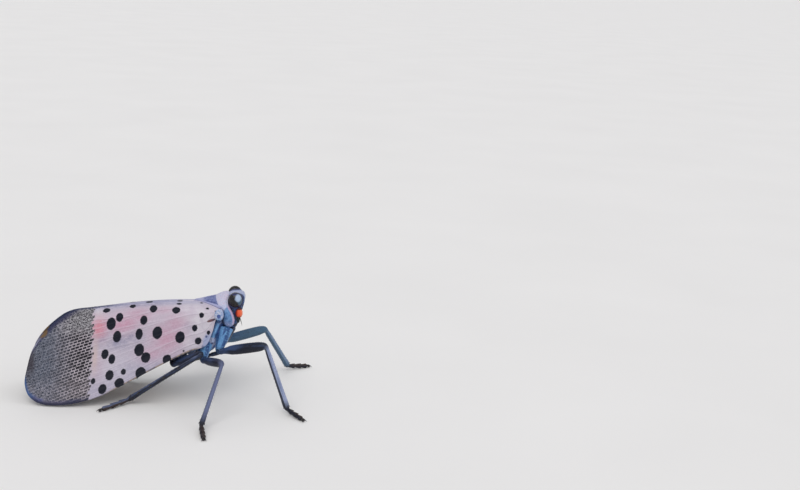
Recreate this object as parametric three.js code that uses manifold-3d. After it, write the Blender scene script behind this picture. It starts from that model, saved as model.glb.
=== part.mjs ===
// An adult spotted lanternfly standing at rest, its wings closed over its back like a steep roof.
// Units are millimetres. +X points to the head, +Y to the insect's left and +Z up, with the floor at z = 0.
// Every piece is first placed from the wing roof's own origin, and the whole group is then centred.
import * as THREE from "three";
import { mergeVertices } from "three/addons/utils/BufferGeometryUtils.js";
import Module from "manifold-3d";

const wasm = await Module();
wasm.setup();

// Clearances and thicknesses
const GAP = 0.3;
const MEMBRANE = 0.5;
const VEIN_RISE = 0.16;
const WING_PARTING = 0.17;

// The roof that the closed forewings make, as functions of the place along the body
const TAIL_X = -16.6;
const HINGE_X = 6.85;
const ridgeHeight = through([[TAIL_X, 10.2], [-8.9, 11.2], [-4.4, 11.8], [0.5, 12.15], [HINGE_X, 12.25]]);
const shoulderReach = through([[TAIL_X, 0.5], [-8, 0.85], [-2, 1.4], [2, 2.05], [HINGE_X, 2.75]]);
const shoulderDrop = through([[TAIL_X, 0.8], [-8, 0.95], [-2, 1.1], [2, 1.27], [HINGE_X, 1.42]]);
const sideSlope = through([[TAIL_X, 77], [-8, 77], [0, 76], [4.4, 78], [HINGE_X, 80]]);
const sideFlare = through([[TAIL_X, 2.1], [-8, 2.1], [0, 1.6], [4.4, 0.6], [HINGE_X, 0.5]]);

// Forewing outline, as [place along the body, distance down the roof from its ridge]
const FOREWING_INNER = [
  [HINGE_X, 2.1], [5.3, 1.0], [3.7, 0.03], [1, 0], [-3, 0], [-7.6, 0],
  [-9.8, 0.12], [-12.3, 1.2], [-14.5, 2.95], [-15.85, 4.9], [-16.4, 7.1],
];
const FOREWING_OUTER = [
  [HINGE_X, 3.2], [6.15, 3.6], [5.7, 5.2], [4.9, 6.8], [2.8, 7.45], [-1.0, 9.0],
  [-5.5, 10.9], [-8.8, 11.85], [-11.7, 12.1], [-14.3, 11.65], [-15.9, 10.5], [-16.55, 8.8], [-16.4, 7.1],
];
const innerEdgeDown = through(FOREWING_INNER.slice().reverse());
const FOREWING_VEINS = [0.1, 0.26, 0.42, 0.6, 0.78];
const FOREWING_STEPS = 17;
const NODAL_LINE = 0.61;
const outerShare = through([[0, 0], [NODAL_LINE, 0.665], [1, 1]]);

// Hindwing outline, folded inside the roof: shorter than the forewing and clear of its lower edge
const HINDWING_INNER = [[3.1, 2.5], [1.0, 2.6], [-4, 2.9], [-8, 3.3], [-11, 4.3], [-12.6, 6.3]];
const HINDWING_OUTER = [[3.1, 4.4], [1.0, 6.6], [-4, 9.1], [-8, 10.2], [-11.2, 9.8], [-12.6, 7.9]];
const HINDWING_VEINS = [0.16, 0.36, 0.56, 0.76];
const HINDWING_STEPS = 10;
const HINDWING_INSET = MEMBRANE + GAP + VEIN_RISE;
const BODY_INSET = HINDWING_INSET + MEMBRANE + GAP;

// Head and body, as sizes and centres
const EYE = { centre: [8.46, 1.56, 12.72], half: [0.86, 0.72, 0.94] };
const ANTENNA = { centre: [8.95, 1.56, 11.02], half: [0.42, 0.42, 0.58], bristle: 1.0 };
const HEAD_TOP = 13.45;
const HEAD_LOW = 8.75;
const headFront = through([[8.75, 8.8], [9.9, 9.07], [11.2, 9.3], [12.65, 9.78], [13.1, 9.9], [13.45, 9.72]]);
const headBack = through([[8.75, 7.75], [11.2, 7.35], [12.65, 7.4], [13.45, 7.6]]);
const headHalfWidth = through([[8.75, 0.78], [9.9, 1.15], [11.0, 1.58], [12.7, 1.74], [13.45, 1.55]]);
const PRONOTUM = { top: 13.6, low: 8.85, fall: 0.85 };
const pronotumFront = through([
  [8.85, 8.0], [9.4, 8.35], [10.3, 8.4], [11.2, 8.1], [12.1, 7.62], [12.9, 7.7], [13.6, 8.1],
]);
const pronotumBack = through([[8.85, 7.35], [9.6, 7.05], [11.4, 6.9], [12.0, 6.6], [12.5, 6.05], [13.2, 5.8]]);
const pronotumHalfWidth = through([[8.85, 2.2], [10, 2.62], [11.3, 2.55], [12.4, 2.3], [13.6, 2.0]]);
const MESONOTUM = { front: 7.0, tip: 3.35, base: 11.3 };
const mesonotumTop = through([[3.35, 12.3], [4.1, 12.4], [5.3, 12.57], [7.0, 12.88]]);
const THORAX = { front: 7.1, back: 2.1, half: 2.45, top: 11.3 };
const thoraxLow = through([[2.1, 4.95], [4.5, 5.3], [5.9, 5.72], [6.5, 6.2], [7.1, 6.35]]);
const ABDOMEN = { front: 1.75, tail: -8.7, half: 2.5, rings: 8 };
const abdomenTop = through([[-8.7, 3.9], [-5, 6.6], [-1, 8.9], [1.75, 10.1]]);
const abdomenLow = through([[-8.7, 2.1], [-6, 1.75], [-3, 2.7], [1.75, 5.6]]);

// Legs: each joint's place on the insect's left side, and the half width and half depth of each length
const ANKLE_HEIGHT = 0.72;
const SOLE_CENTRE = 0.24;
const CLAW = { root: 0.4, reach: 0.72, spread: 24, tipHeight: 0.08 };
const LEGS = {
  fore: {
    coxa: [[7.3, 1.5, 8.8], [6.5, 2.05, 6.15]],
    knee: { left: [12.5, 4.3, 7.2], right: [12.2, 4.7, 7.8] },
    femur: [0.6, 0.46],
    tibia: { half: [0.37, 0.3], length: { left: 8.7, right: 8.05 }, heading: { left: 54, right: 45 } },
    tarsus: { length: 2.9, heading: { left: 22, right: 56 } },
  },
  mid: {
    coxa: [[4.9, 1.7, 7.1], [4.6, 2.6, 5.2]],
    knee: { left: [6.95, 7.4, 6.4], right: [6.95, 7.4, 6.4] },
    femur: [0.5, 0.42],
    tibia: { half: [0.35, 0.28], length: { left: 8.1, right: 8.1 }, heading: { left: 114, right: 114 } },
    tarsus: { length: 2.9, heading: { left: 84, right: 84 } },
  },
  hind: {
    coxa: [[1.8, 1.1, 5.6], [0.9, 1.95, 4.4]],
    knee: { left: [4.6, 4.7, 6.75], right: [4.6, 4.7, 6.75] },
    femur: [0.5, 0.44],
    tibia: { half: [0.37, 0.31], length: { left: 10.7, right: 10.7 }, heading: { left: 185, right: 185 } },
    tarsus: { length: 3.9, heading: { left: 142, right: 140 } },
    spines: [0.3, 0.5, 0.68, 0.84],
  },
};

// Colours and finishes
const FINISH = {
  membrane: new THREE.MeshStandardMaterial({ color: 0xbfb2b6, roughness: 0.55, metalness: 0 }),
  hindMembrane: new THREE.MeshStandardMaterial({ color: 0xb5232a, roughness: 0.6, metalness: 0 }),
  cuticle: new THREE.MeshStandardMaterial({ color: 0x5d6f8c, roughness: 0.5, metalness: 0 }),
  plate: new THREE.MeshStandardMaterial({ color: 0xaeb0c4, roughness: 0.6, metalness: 0 }),
  limb: new THREE.MeshStandardMaterial({ color: 0x2a3142, roughness: 0.4, metalness: 0 }),
  eye: new THREE.MeshStandardMaterial({ color: 0x2b2724, roughness: 0.2, metalness: 0 }),
  antenna: new THREE.MeshStandardMaterial({ color: 0xf2551c, roughness: 0.4, metalness: 0 }),
  abdomen: new THREE.MeshStandardMaterial({ color: 0x8a7a3a, roughness: 0.5, metalness: 0 }),
};

// A smooth function of one number through [place, value] knots, held level past both ends.
function through(knots) {
  const last = knots.length - 1;
  const slope = (i) => {
    const before = knots[Math.max(i - 1, 0)];
    const after = knots[Math.min(i + 1, last)];
    return (after[1] - before[1]) / (after[0] - before[0]);
  };
  return (x) => {
    let i = 0;
    while (i < last - 1 && x > knots[i + 1][0]) i += 1;
    const span = knots[i + 1][0] - knots[i][0];
    const t = THREE.MathUtils.clamp((x - knots[i][0]) / span, 0, 1);
    const start = (1 + 2 * t) * (1 - t) * (1 - t) * knots[i][1] + t * (1 - t) * (1 - t) * span * slope(i);
    return start + t * t * (3 - 2 * t) * knots[i + 1][1] + t * t * (t - 1) * span * slope(i + 1);
  };
}

// A geometry as a solid, its shared vertices merged and its faces turned outwards.
function solid(geometry) {
  const bare = new THREE.BufferGeometry();
  bare.setAttribute("position", geometry.getAttribute("position"));
  bare.setIndex(geometry.getIndex());
  const merged = mergeVertices(bare, 1e-4);
  const corners = merged.index.array;
  const kept = [];
  for (let i = 0; i < corners.length; i += 3) {
    const [a, b, c] = [corners[i], corners[i + 1], corners[i + 2]];
    if (a !== b && b !== c && c !== a) kept.push(a, b, c);
  }
  const vertProperties = merged.attributes.position.array;
  const made = new wasm.Manifold(new wasm.Mesh({ numProp: 3, vertProperties, triVerts: new Uint32Array(kept) }));
  if (made.volume() > 0) return made;
  const turned = new Uint32Array(kept).reverse();
  return new wasm.Manifold(new wasm.Mesh({ numProp: 3, vertProperties, triVerts: turned }));
}

// Only the largest closed surface of a solid, after cuts and unions.
function largest(made) {
  return made.decompose().reduce((best, piece) => (piece.volume() > best.volume() ? piece : best));
}

// A closed body on a sphere's grid: shape(t, angle) places each vertex, with t from pole to pole.
function body(around, along, shape) {
  const grid = new THREE.SphereGeometry(1, around, along);
  const { uv, position } = grid.attributes;
  for (let i = 0; i < position.count; i += 1) {
    const p = shape(1 - uv.getY(i), 2 * Math.PI * uv.getX(i));
    position.setXYZ(i, p[0], p[1], p[2]);
  }
  return solid(grid);
}

// How full a body is at a share of its length: none at both poles, and blunter the smaller the power.
function domed(t, power) {
  return t === 0 || t === 1 ? 0 : Math.sin(Math.PI * t) ** power;
}

// Signed power, which squares off the circle that cosine and sine trace.
function squared(value, power) {
  return Math.sign(value) * Math.abs(value) ** power;
}

// An oval ball with half sizes along the three axes, grown all round by a clearance.
function ball({ centre, half }, side, grow, around, along) {
  return body(around, along, (t, angle) => {
    const ring = Math.sin(Math.PI * t);
    return [
      centre[0] + (half[0] + grow) * ring * Math.cos(angle),
      side * centre[1] + (half[1] + grow) * ring * Math.sin(angle),
      centre[2] + (half[2] + grow) * Math.cos(Math.PI * t),
    ];
  });
}

// A tapered oval length from one point to another with domed ends. half is its two half sizes at a share of
// the length, the first of them in the plane of the line and the hint.
function limb(from, to, half, { hint = [0, 0, 1], around = 8, along = 8, dome = 0.35 } = {}) {
  const start = new THREE.Vector3(...from);
  const axis = new THREE.Vector3(...to).sub(start);
  const length = axis.length();
  axis.normalize();
  const across = new THREE.Vector3(...hint).addScaledVector(axis, -axis.dot(new THREE.Vector3(...hint))).normalize();
  const beside = new THREE.Vector3().crossVectors(axis, across);
  return body(around, along, (t, angle) => {
    const share = (1 - Math.cos(Math.PI * t)) / 2;
    const end = Math.min(share, 1 - share) * length;
    const fill = end < dome ? Math.sqrt(Math.max(0, 1 - (1 - end / dome) ** 2)) : 1;
    const [wide, deep] = half(share);
    return start
      .clone()
      .addScaledVector(axis, share * length)
      .addScaledVector(across, wide * fill * Math.cos(angle))
      .addScaledVector(beside, deep * fill * Math.sin(angle))
      .toArray();
  });
}

// A point of the roof on one side: an elliptic shoulder from the ridge, then a side that flares outwards by
// so many degrees in each millimetre.
function roof(x, down, inset, side) {
  const reach = Math.max(shoulderReach(x) - inset, 0.05);
  const drop = Math.max(shoulderDrop(x) - inset, 0.05);
  const slope = THREE.MathUtils.degToRad(sideSlope(x));
  const flare = THREE.MathUtils.degToRad(sideFlare(x));
  const turn = Math.atan((shoulderReach(x) / shoulderDrop(x)) * Math.tan(slope));
  const shoulder = (Math.PI / 4) * (shoulderReach(x) + shoulderDrop(x));
  const angle = turn * Math.min(down / shoulder, 1);
  const end = slope - flare * Math.max(down - shoulder, 0);
  return new THREE.Vector3(
    x,
    side * (WING_PARTING + reach * Math.sin(angle) + (Math.sin(slope) - Math.sin(end)) / flare),
    ridgeHeight(x) - inset - drop * (1 - Math.cos(angle)) - (Math.cos(end) - Math.cos(slope)) / flare,
  );
}

// The shares across a wing at which its grid has lines: three for each vein and one in each space between.
function gridLines(veins, halfVein) {
  const lines = [0, 0.05, 1];
  veins.forEach((vein, i) => {
    lines.push(vein - halfVein, vein, vein + halfVein);
    const next = i + 1 < veins.length ? veins[i + 1] : 1;
    lines.push((vein + next) / 2);
  });
  return lines.sort((a, b) => a - b);
}

// A wing: a sheet between two insets of the roof, split into the same triangles on both faces, with its
// veins raised in the outer face. Its lines fan out from the hinge between the two edges of its outline.
function wing({ inner, outer, veins, steps, inset, side, nodal }) {
  const innerEdge = new THREE.SplineCurve(inner.map((p) => new THREE.Vector2(...p)));
  const outerEdge = new THREE.SplineCurve(outer.map((p) => new THREE.Vector2(...p)));
  const lines = gridLines(veins, 0.018);
  const lastStep = 0.985;
  const rows = [];
  for (let i = 0; i <= steps; i += 1) rows.push(lastStep * (1 - (1 - i / steps) ** 1.25));
  if (nodal) rows.push(nodal - 0.008, nodal, nodal + 0.008);
  rows.sort((a, b) => a - b);
  const onSheet = (u, v, depth) => {
    const p = outerEdge.getPointAt(outerShare(u)).lerp(innerEdge.getPointAt(u), v);
    return roof(p.x, Math.max(p.y, 0), depth, side);
  };
  const rise = (u, v) => {
    const isVein = veins.some((vein) => Math.abs(vein - v) < 1e-6);
    const fade = THREE.MathUtils.smoothstep(1 - u, 0.04, 0.3) * THREE.MathUtils.smoothstep(u, 0.02, 0.12);
    const edge = v > 0 && v < 1 ? 1 : 0;
    return VEIN_RISE * edge * Math.max(isVein ? fade : 0, u === nodal ? 0.6 : 0);
  };
  const points = [];
  for (const face of [0, 1]) {
    for (const u of rows) {
      for (const v of lines) points.push(...onSheet(u, v, face ? inset + MEMBRANE : inset - rise(u, v)));
    }
  }
  const width = lines.length;
  const half = rows.length * width;
  const faces = [];
  const quad = (a, b, c, d) => faces.push(a, b, c, a, c, d);
  for (let i = 0; i < rows.length - 1; i += 1) {
    for (let j = 0; j < width - 1; j += 1) {
      const a = i * width + j;
      quad(a, a + 1, a + width + 1, a + width);
      quad(half + a, half + a + width, half + a + width + 1, half + a + 1);
    }
  }
  const rim = [];
  for (let j = 0; j < width; j += 1) rim.push(j);
  for (let i = 1; i < rows.length; i += 1) rim.push(i * width + width - 1);
  for (let j = width - 2; j >= 0; j -= 1) rim.push((rows.length - 1) * width + j);
  for (let i = rows.length - 2; i > 0; i -= 1) rim.push(i * width);
  rim.forEach((a, i) => {
    const b = rim[(i + 1) % rim.length];
    quad(b, a, half + a, half + b);
  });
  const sheet = new THREE.BufferGeometry();
  sheet.setAttribute("position", new THREE.Float32BufferAttribute(points.flat(), 3));
  sheet.setIndex(alikeOnBothFaces(faces, half));
  return solid(sheet);
}

// The lower face's quads are split along the same diagonals as the upper face's.
function alikeOnBothFaces(faces, half) {
  const upper = [];
  const rest = [];
  for (let i = 0; i < faces.length; i += 3) {
    const corner = faces.slice(i, i + 3);
    if (corner.every((c) => c < half)) upper.push(corner);
    else if (!corner.every((c) => c >= half)) rest.push(...corner);
  }
  const lower = upper.map(([a, b, c]) => [half + a, half + c, half + b]);
  return [...upper.flat(), ...lower.flat(), ...rest];
}

// All the space under the roof at an inset, down past the floor, to keep the body clear of the wings.
function underRoof(inset) {
  const stations = 22;
  const from = -10;
  const to = 7.6;
  return body(28, stations, (t, angle) => {
    const x = from + (to - from) * t;
    if (t === 0 || t === 1) return [x, 0, ridgeHeight(x) - inset - 3];
    const side = Math.sin(angle) < 0 ? -1 : 1;
    const p = roof(x, 16 * Math.abs(Math.cos(angle / 2)) ** 1.6, inset, side);
    return [x, Math.abs(Math.sin(angle)) < 1e-6 ? 0 : p.y, p.z];
  });
}

// Head, from a superellipse at each height: a flat face, full cheeks and a blunt crown
function head(grow) {
  return body(18, 10, (t, angle) => {
    const share = (1 - Math.cos(Math.PI * t)) / 2;
    const z = HEAD_TOP + grow - (HEAD_TOP - HEAD_LOW + 2 * grow) * share;
    const fill = domed(t, 0.36);
    const middle = (headFront(z) + headBack(z)) / 2;
    const deep = ((headFront(z) - headBack(z)) / 2 + grow) * fill;
    const wide = (headHalfWidth(z) + grow) * fill;
    return [middle + deep * squared(Math.cos(angle), 0.7), wide * squared(Math.sin(angle), 0.62), z];
  });
}

// Pronotum: a saddle, long on top and narrow at the shoulder, with a lobe down behind each eye
function pronotum(grow) {
  const { top, low } = PRONOTUM;
  const middle = (top + low) / 2;
  return body(26, 8, (t, angle) => {
    const fill = domed(t, 0.26);
    const up = squared(Math.cos(angle), 0.8) * fill;
    const z = middle + ((top - low) / 2 + grow) * up;
    const y = (pronotumHalfWidth(z) + grow) * squared(Math.sin(angle), 0.75) * fill;
    const share = (1 - Math.cos(Math.PI * t)) / 2;
    const fall = PRONOTUM.fall * Math.max(up, 0) * (1 - share);
    return [THREE.MathUtils.lerp(pronotumBack(z) - grow, pronotumFront(z) + grow, share), y, z - fall];
  });
}

// Mesonotum: a domed shield whose sides follow the wings' inner edges to a point between them
function mesonotum(grow) {
  const { front, tip, base } = MESONOTUM;
  return body(20, 9, (t, angle) => {
    const x = THREE.MathUtils.lerp(tip - 2 * grow, front + grow, t);
    const edge = roof(x, innerEdgeDown(x), 0, 1);
    const fill = Math.min(1, 2.2 * domed(t, 0.7));
    const up = Math.cos(angle) * fill;
    const half = Math.max(edge.y - GAP - 0.04, 0.16) + grow;
    const crown = mesonotumTop(x) + grow - edge.z;
    const z = edge.z + (up > 0 ? crown : edge.z - base + grow) * squared(up, up > 0 ? 0.9 : 0.6);
    return [x, half * squared(Math.sin(angle), 0.85) * fill, z];
  });
}

// Thorax: the block that carries wings and legs
function thorax(grow) {
  const { front, back, half, top } = THORAX;
  return body(18, 10, (t, angle) => {
    const fill = domed(t, 0.42);
    const x = back - grow + (front - back + 2 * grow) * ((1 - Math.cos(Math.PI * t)) / 2);
    const floor = thoraxLow(x);
    const middle = (top + floor) / 2;
    const high = (top - floor) / 2 + grow;
    const upness = squared(Math.cos(angle), 0.75);
    const keel = 1 - 0.3 * Math.max(-upness, 0);
    return [x, (half + grow) * squared(Math.sin(angle), 0.75) * fill * keel, middle + high * upness * fill];
  });
}

// Abdomen: ringed, widest below, with a blunt tail
function abdomen(grow) {
  const { front, tail, half, rings } = ABDOMEN;
  const stations = rings * 2 + 2;
  return body(16, stations, (t, angle) => {
    const x = front + grow - (front - tail + 2 * grow) * t;
    const fill = Math.min(1, Math.sqrt(Math.sin(Math.PI * t) / Math.sin(0.22 * Math.PI)));
    const step = (t * rings) % 1;
    const ring = t > 0.04 && t < 0.96 ? 1 - 0.07 * (1 - step) : 1;
    const middle = (abdomenTop(x) + abdomenLow(x)) / 2;
    const high = ((abdomenTop(x) - abdomenLow(x)) / 2 + grow) * fill * ring;
    const upness = Math.cos(angle);
    const wide = (half * (1 - 0.42 * t * t) + grow) * fill * ring * (1 - 0.25 * Math.max(upness, 0));
    return [x, wide * squared(Math.sin(angle), 0.9), middle + high * upness];
  });
}

// Antenna: the swollen orange joint under the eye, with its short bristle
function antenna(side) {
  const { centre, half, bristle } = ANTENNA;
  const bulb = ball(ANTENNA, side, 0, 12, 8);
  const root = [centre[0] + 0.1, side * (centre[1] + 0.12), centre[2] - half[2] * 0.55];
  const end = [root[0] + 0.35, side * (centre[1] + 0.75), root[2] - bristle];
  const taper = (share) => [0.22 * (1 - share) + 0.05, 0.22 * (1 - share) + 0.05];
  return bulb.add(limb(root, end, taper, { around: 6, along: 5, dome: 0.15 }));
}

// A point at a plan heading and distance from another, at a given height. Heading 0 points to the head and
// 90 out to the insect's own side.
function reachTo([x, y], heading, distance, height, side) {
  const turn = THREE.MathUtils.degToRad(heading);
  return [x + distance * Math.cos(turn), y + side * distance * Math.sin(turn), height];
}

// One leg's four nodes. Each length starts a gap away from the joint that carries it.
function leg(kind, side, blocks) {
  const spec = LEGS[kind];
  const sideName = side > 0 ? "left" : "right";
  const onSide = ([x, y, z]) => [x, side * y, z];
  const [hip, trochanter] = spec.coxa.map(onSide);
  const knee = onSide(spec.knee[sideName]);
  const { tibia, tarsus } = spec;
  const level = Math.sqrt(tibia.length[sideName] ** 2 - (knee[2] - ANKLE_HEIGHT) ** 2);
  const ankle = reachTo(knee, tibia.heading[sideName], level, ANKLE_HEIGHT, side);
  const toe = reachTo(ankle, tarsus.heading[sideName], tarsus.length, SOLE_CENTRE, side);
  const away = (from, to, distance) =>
    new THREE.Vector3(...from).lerp(new THREE.Vector3(...to), distance / distanceOf(from, to)).toArray();

  // Coxa and trochanter, clear of the body
  const coxaLength = (grow) => {
    const stout = (share) => [0.85 - 0.33 * share + grow, 0.75 - 0.25 * share + grow];
    return limb(hip, away(trochanter, hip, -grow), stout, { hint: [1, 0, 0], around: 10, along: 7, dome: 0.5 + grow });
  };
  const coxa = blocks.reduce((made, block) => made.subtract(block), coxaLength(0));

  // Femur, deepest past its middle
  const [wide, deep] = spec.femur;
  const swell = through([[0, 0.72], [0.3, 0.95], [0.7, 1], [1, 0.85]]);
  const femurLength = (grow) => {
    const thigh = (share) => [wide * swell(share) + grow, deep * swell(share) + grow];
    return limb(trochanter, away(knee, trochanter, -grow), thigh, { dome: 0.4 + grow });
  };

  // Tibia, a little wider towards the foot
  const kneeHint = [knee[0] - trochanter[0], knee[1] - trochanter[1], knee[2] - trochanter[2]];
  const flare = through([[0, 1.05], [0.12, 0.85], [0.8, 0.95], [1, 1.05]]);
  const tibiaLength = (grow) => {
    const shin = (share) => tibia.half.map((half) => half * flare(share) + grow);
    return limb(knee, away(ankle, knee, -grow), shin, { hint: kneeHint, dome: 0.3 + grow });
  };
  let shank = tibiaLength(0).subtract(femurLength(GAP));
  (spec.spines || []).forEach((share) => {
    const root = away(knee, ankle, share * distanceOf(knee, ankle));
    const tip = [root[0] - 0.45, root[1] + side * 0.72, root[2] - 0.05];
    shank = shank.add(limb(root, tip, (s) => [0.2 - 0.15 * s, 0.2 - 0.15 * s], { around: 6, along: 4, dome: 0.1 }));
  });

  // Foot: three joints that lie on the floor, and a pair of claws
  const heelStart = [ankle[0], ankle[1], ANKLE_HEIGHT - 0.3];
  const joints = through([[0, 0.24], [0.3, 0.31], [0.36, 0.25], [0.62, 0.31], [0.68, 0.25], [0.92, 0.32], [1, 0.28]]);
  let foot = limb(heelStart, toe, (share) => [joints(share), joints(share)], { along: 12, dome: 0.2 });
  [-1, 1].forEach((turn) => {
    const heading = tarsus.heading[sideName] + turn * CLAW.spread;
    const root = reachTo(toe, heading, -CLAW.root, SOLE_CENTRE, side);
    const tip = reachTo(toe, heading, CLAW.reach, CLAW.tipHeight, side);
    const claw = (share) => [0.21 - 0.14 * share, 0.21 - 0.14 * share];
    foot = foot.add(limb(root, tip, claw, { around: 6, along: 4, dome: 0.12 }));
  });
  foot = foot.trimByPlane([0, 0, 1], 0).subtract(tibiaLength(GAP));

  return [
    [`coxa_${kind}_${sideName}`, largest(coxa)],
    [`femur_${kind}_${sideName}`, largest(femurLength(0).subtract(coxaLength(GAP)))],
    [`tibia_${kind}_${sideName}`, largest(shank)],
    [`tarsus_${kind}_${sideName}`, largest(foot)],
  ];
}

function distanceOf(a, b) {
  return new THREE.Vector3(...a).distanceTo(new THREE.Vector3(...b));
}

// The three.js mesh of a solid
const insect = new THREE.Group();
function place(name, made, finish) {
  const { numProp, numVert, vertProperties, triVerts } = made.getMesh();
  const position = new Float32Array(numVert * 3);
  for (let i = 0; i < numVert; i += 1) position.set(vertProperties.subarray(i * numProp, i * numProp + 3), i * 3);
  const geometry = new THREE.BufferGeometry();
  geometry.setAttribute("position", new THREE.BufferAttribute(position, 3));
  geometry.setIndex(new THREE.BufferAttribute(triVerts, 1));
  geometry.computeVertexNormals();
  const mesh = new THREE.Mesh(geometry, finish);
  mesh.name = name;
  insect.add(mesh);
}

// Head, eyes and antennae
const headGrown = head(GAP);
const eyesGrown = [1, -1].map((side) => ball(EYE, side, GAP, 14, 8));
const antennaeGrown = [1, -1].map((side) => ball(ANTENNA, side, GAP, 10, 6));
const cutHead = [...eyesGrown, ...antennaeGrown].reduce((made, cut) => made.subtract(cut), head(0));
place("head", largest(cutHead), FINISH.cuticle);
for (const side of [1, -1]) {
  const sideName = side > 0 ? "left" : "right";
  place(`eye_${sideName}`, ball(EYE, side, 0, 16, 10), FINISH.eye);
  place(`antenna_${sideName}`, antenna(side), FINISH.antenna);
}

// Face plate below the antennae, and the beak folded back under the chest
const clypeusTop = [8.28, 0, HEAD_LOW + 0.1];
const clypeusTip = [7.05, 0, 6.35];
const plateHalf = (share) => [0.46 - 0.16 * share, 0.8 - 0.46 * share];
const clypeus = limb(clypeusTop, clypeusTip, plateHalf, { hint: [1, 0, 0], around: 10, along: 8, dome: 0.4 });
place("clypeus", largest(clypeus.subtract(headGrown)), FINISH.cuticle);
const beakBend = [6.6, 0, 5.3];
const beakTip = [0.9, 0, 3.7];
const beakHalf = (share) => [0.27 - 0.1 * share, 0.27 - 0.1 * share];
place("rostrum", limb(beakBend, beakTip, beakHalf, { dome: 0.25 }), FINISH.limb);

// Body plates, each cut clear of the one that it grows from
const pronotumCut = [headGrown, ...eyesGrown].reduce((made, cut) => made.subtract(cut), pronotum(0));
place("pronotum", largest(pronotumCut), FINISH.plate);
const pronotumGrown = pronotum(GAP);
place("mesonotum", largest(mesonotum(0).subtract(pronotum(GAP * 1.4))), FINISH.plate);
const roomForBody = underRoof(MEMBRANE + GAP);
const chestCuts = [pronotumGrown, mesonotum(GAP), headGrown];
const chest = chestCuts.reduce((made, cut) => made.subtract(cut), thorax(0).intersect(roomForBody));
place("thorax", largest(chest), FINISH.cuticle);
const belly = abdomen(0).intersect(underRoof(BODY_INSET)).subtract(thorax(GAP));
place("abdomen", largest(belly), FINISH.abdomen);

// Wings, and the small scale over each wing's hinge
for (const side of [1, -1]) {
  const sideName = side > 0 ? "left" : "right";
  const forewing = wing({
    inner: FOREWING_INNER, outer: FOREWING_OUTER, veins: FOREWING_VEINS, steps: FOREWING_STEPS, inset: 0, side,
    nodal: NODAL_LINE,
  });
  const tegulaShape = { centre: [6.5, 2.8, 11.1], half: [0.56, 0.32, 0.76] };
  const tegulaCuts = [ball(tegulaShape, side, GAP, 12, 8), mesonotum(GAP), pronotumGrown];
  place(`forewing_${sideName}`, largest(tegulaCuts.reduce((made, cut) => made.subtract(cut), forewing)), FINISH.membrane);
  const hindwing = wing({
    inner: HINDWING_INNER, outer: HINDWING_OUTER, veins: HINDWING_VEINS, steps: HINDWING_STEPS,
    inset: HINDWING_INSET, side,
  });
  place(`hindwing_${sideName}`, largest(hindwing.subtract(thorax(GAP))), FINISH.hindMembrane);
  const tegula = [pronotumGrown, thorax(GAP)].reduce((made, cut) => made.subtract(cut), ball(tegulaShape, side, 0, 12, 8));
  place(`tegula_${sideName}`, largest(tegula), FINISH.plate);
}

// Legs
const legBlocks = [thorax(GAP), pronotumGrown, abdomen(GAP), limb(clypeusTop, clypeusTip, (s) => [0.8, 0.95 - 0.3 * s])];
for (const side of [1, -1]) {
  for (const kind of ["fore", "mid", "hind"]) {
    leg(kind, side, legBlocks).forEach(([name, made]) => place(name, made, FINISH.limb));
  }
}

// The origin is the middle of the whole insect's footprint, on the floor
const bounds = new THREE.Box3().setFromObject(insect, true);
const middle = bounds.getCenter(new THREE.Vector3());
insect.position.set(-middle.x, -middle.y, 0);

export default insect;
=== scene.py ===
"""The looks of a life-size spotted lanternfly at rest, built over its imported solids.

Shapes are worked out in millimetres in the insect's own frame, +X to the head, +Y to its left and +Z up, and
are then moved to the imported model's frame in metres.
"""

import bpy
import numpy as np
from bpy.props import FloatProperty, FloatVectorProperty, IntProperty, PointerProperty
from mathutils import Matrix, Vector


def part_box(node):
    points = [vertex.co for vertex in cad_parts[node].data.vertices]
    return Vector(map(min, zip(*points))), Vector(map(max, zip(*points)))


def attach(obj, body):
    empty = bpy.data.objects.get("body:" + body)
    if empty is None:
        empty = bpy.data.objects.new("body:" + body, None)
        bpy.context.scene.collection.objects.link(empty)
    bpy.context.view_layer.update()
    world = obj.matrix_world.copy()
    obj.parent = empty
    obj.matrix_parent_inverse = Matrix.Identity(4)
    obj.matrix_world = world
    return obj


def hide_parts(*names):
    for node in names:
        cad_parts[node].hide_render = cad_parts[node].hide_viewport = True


bl_info = {
    "name": "Spotted lanternfly at rest",
    "version": (1, 0, 0),
    "blender": (4, 5, 0),
    "location": "3D View > Sidebar > Lanternfly",
    "description": "Builds the visible surfaces of a life-size spotted lanternfly round its packed solids",
    "category": "Add Mesh",
}

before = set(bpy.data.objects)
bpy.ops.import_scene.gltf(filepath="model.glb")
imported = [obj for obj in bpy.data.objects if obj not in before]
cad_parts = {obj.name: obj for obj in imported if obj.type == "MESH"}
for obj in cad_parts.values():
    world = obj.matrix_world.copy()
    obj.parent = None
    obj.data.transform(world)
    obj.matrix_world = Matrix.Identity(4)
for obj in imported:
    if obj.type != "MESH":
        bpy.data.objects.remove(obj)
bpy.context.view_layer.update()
SIDES = {"left": 1, "right": -1}

# Named sizes, in millimetres

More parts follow.
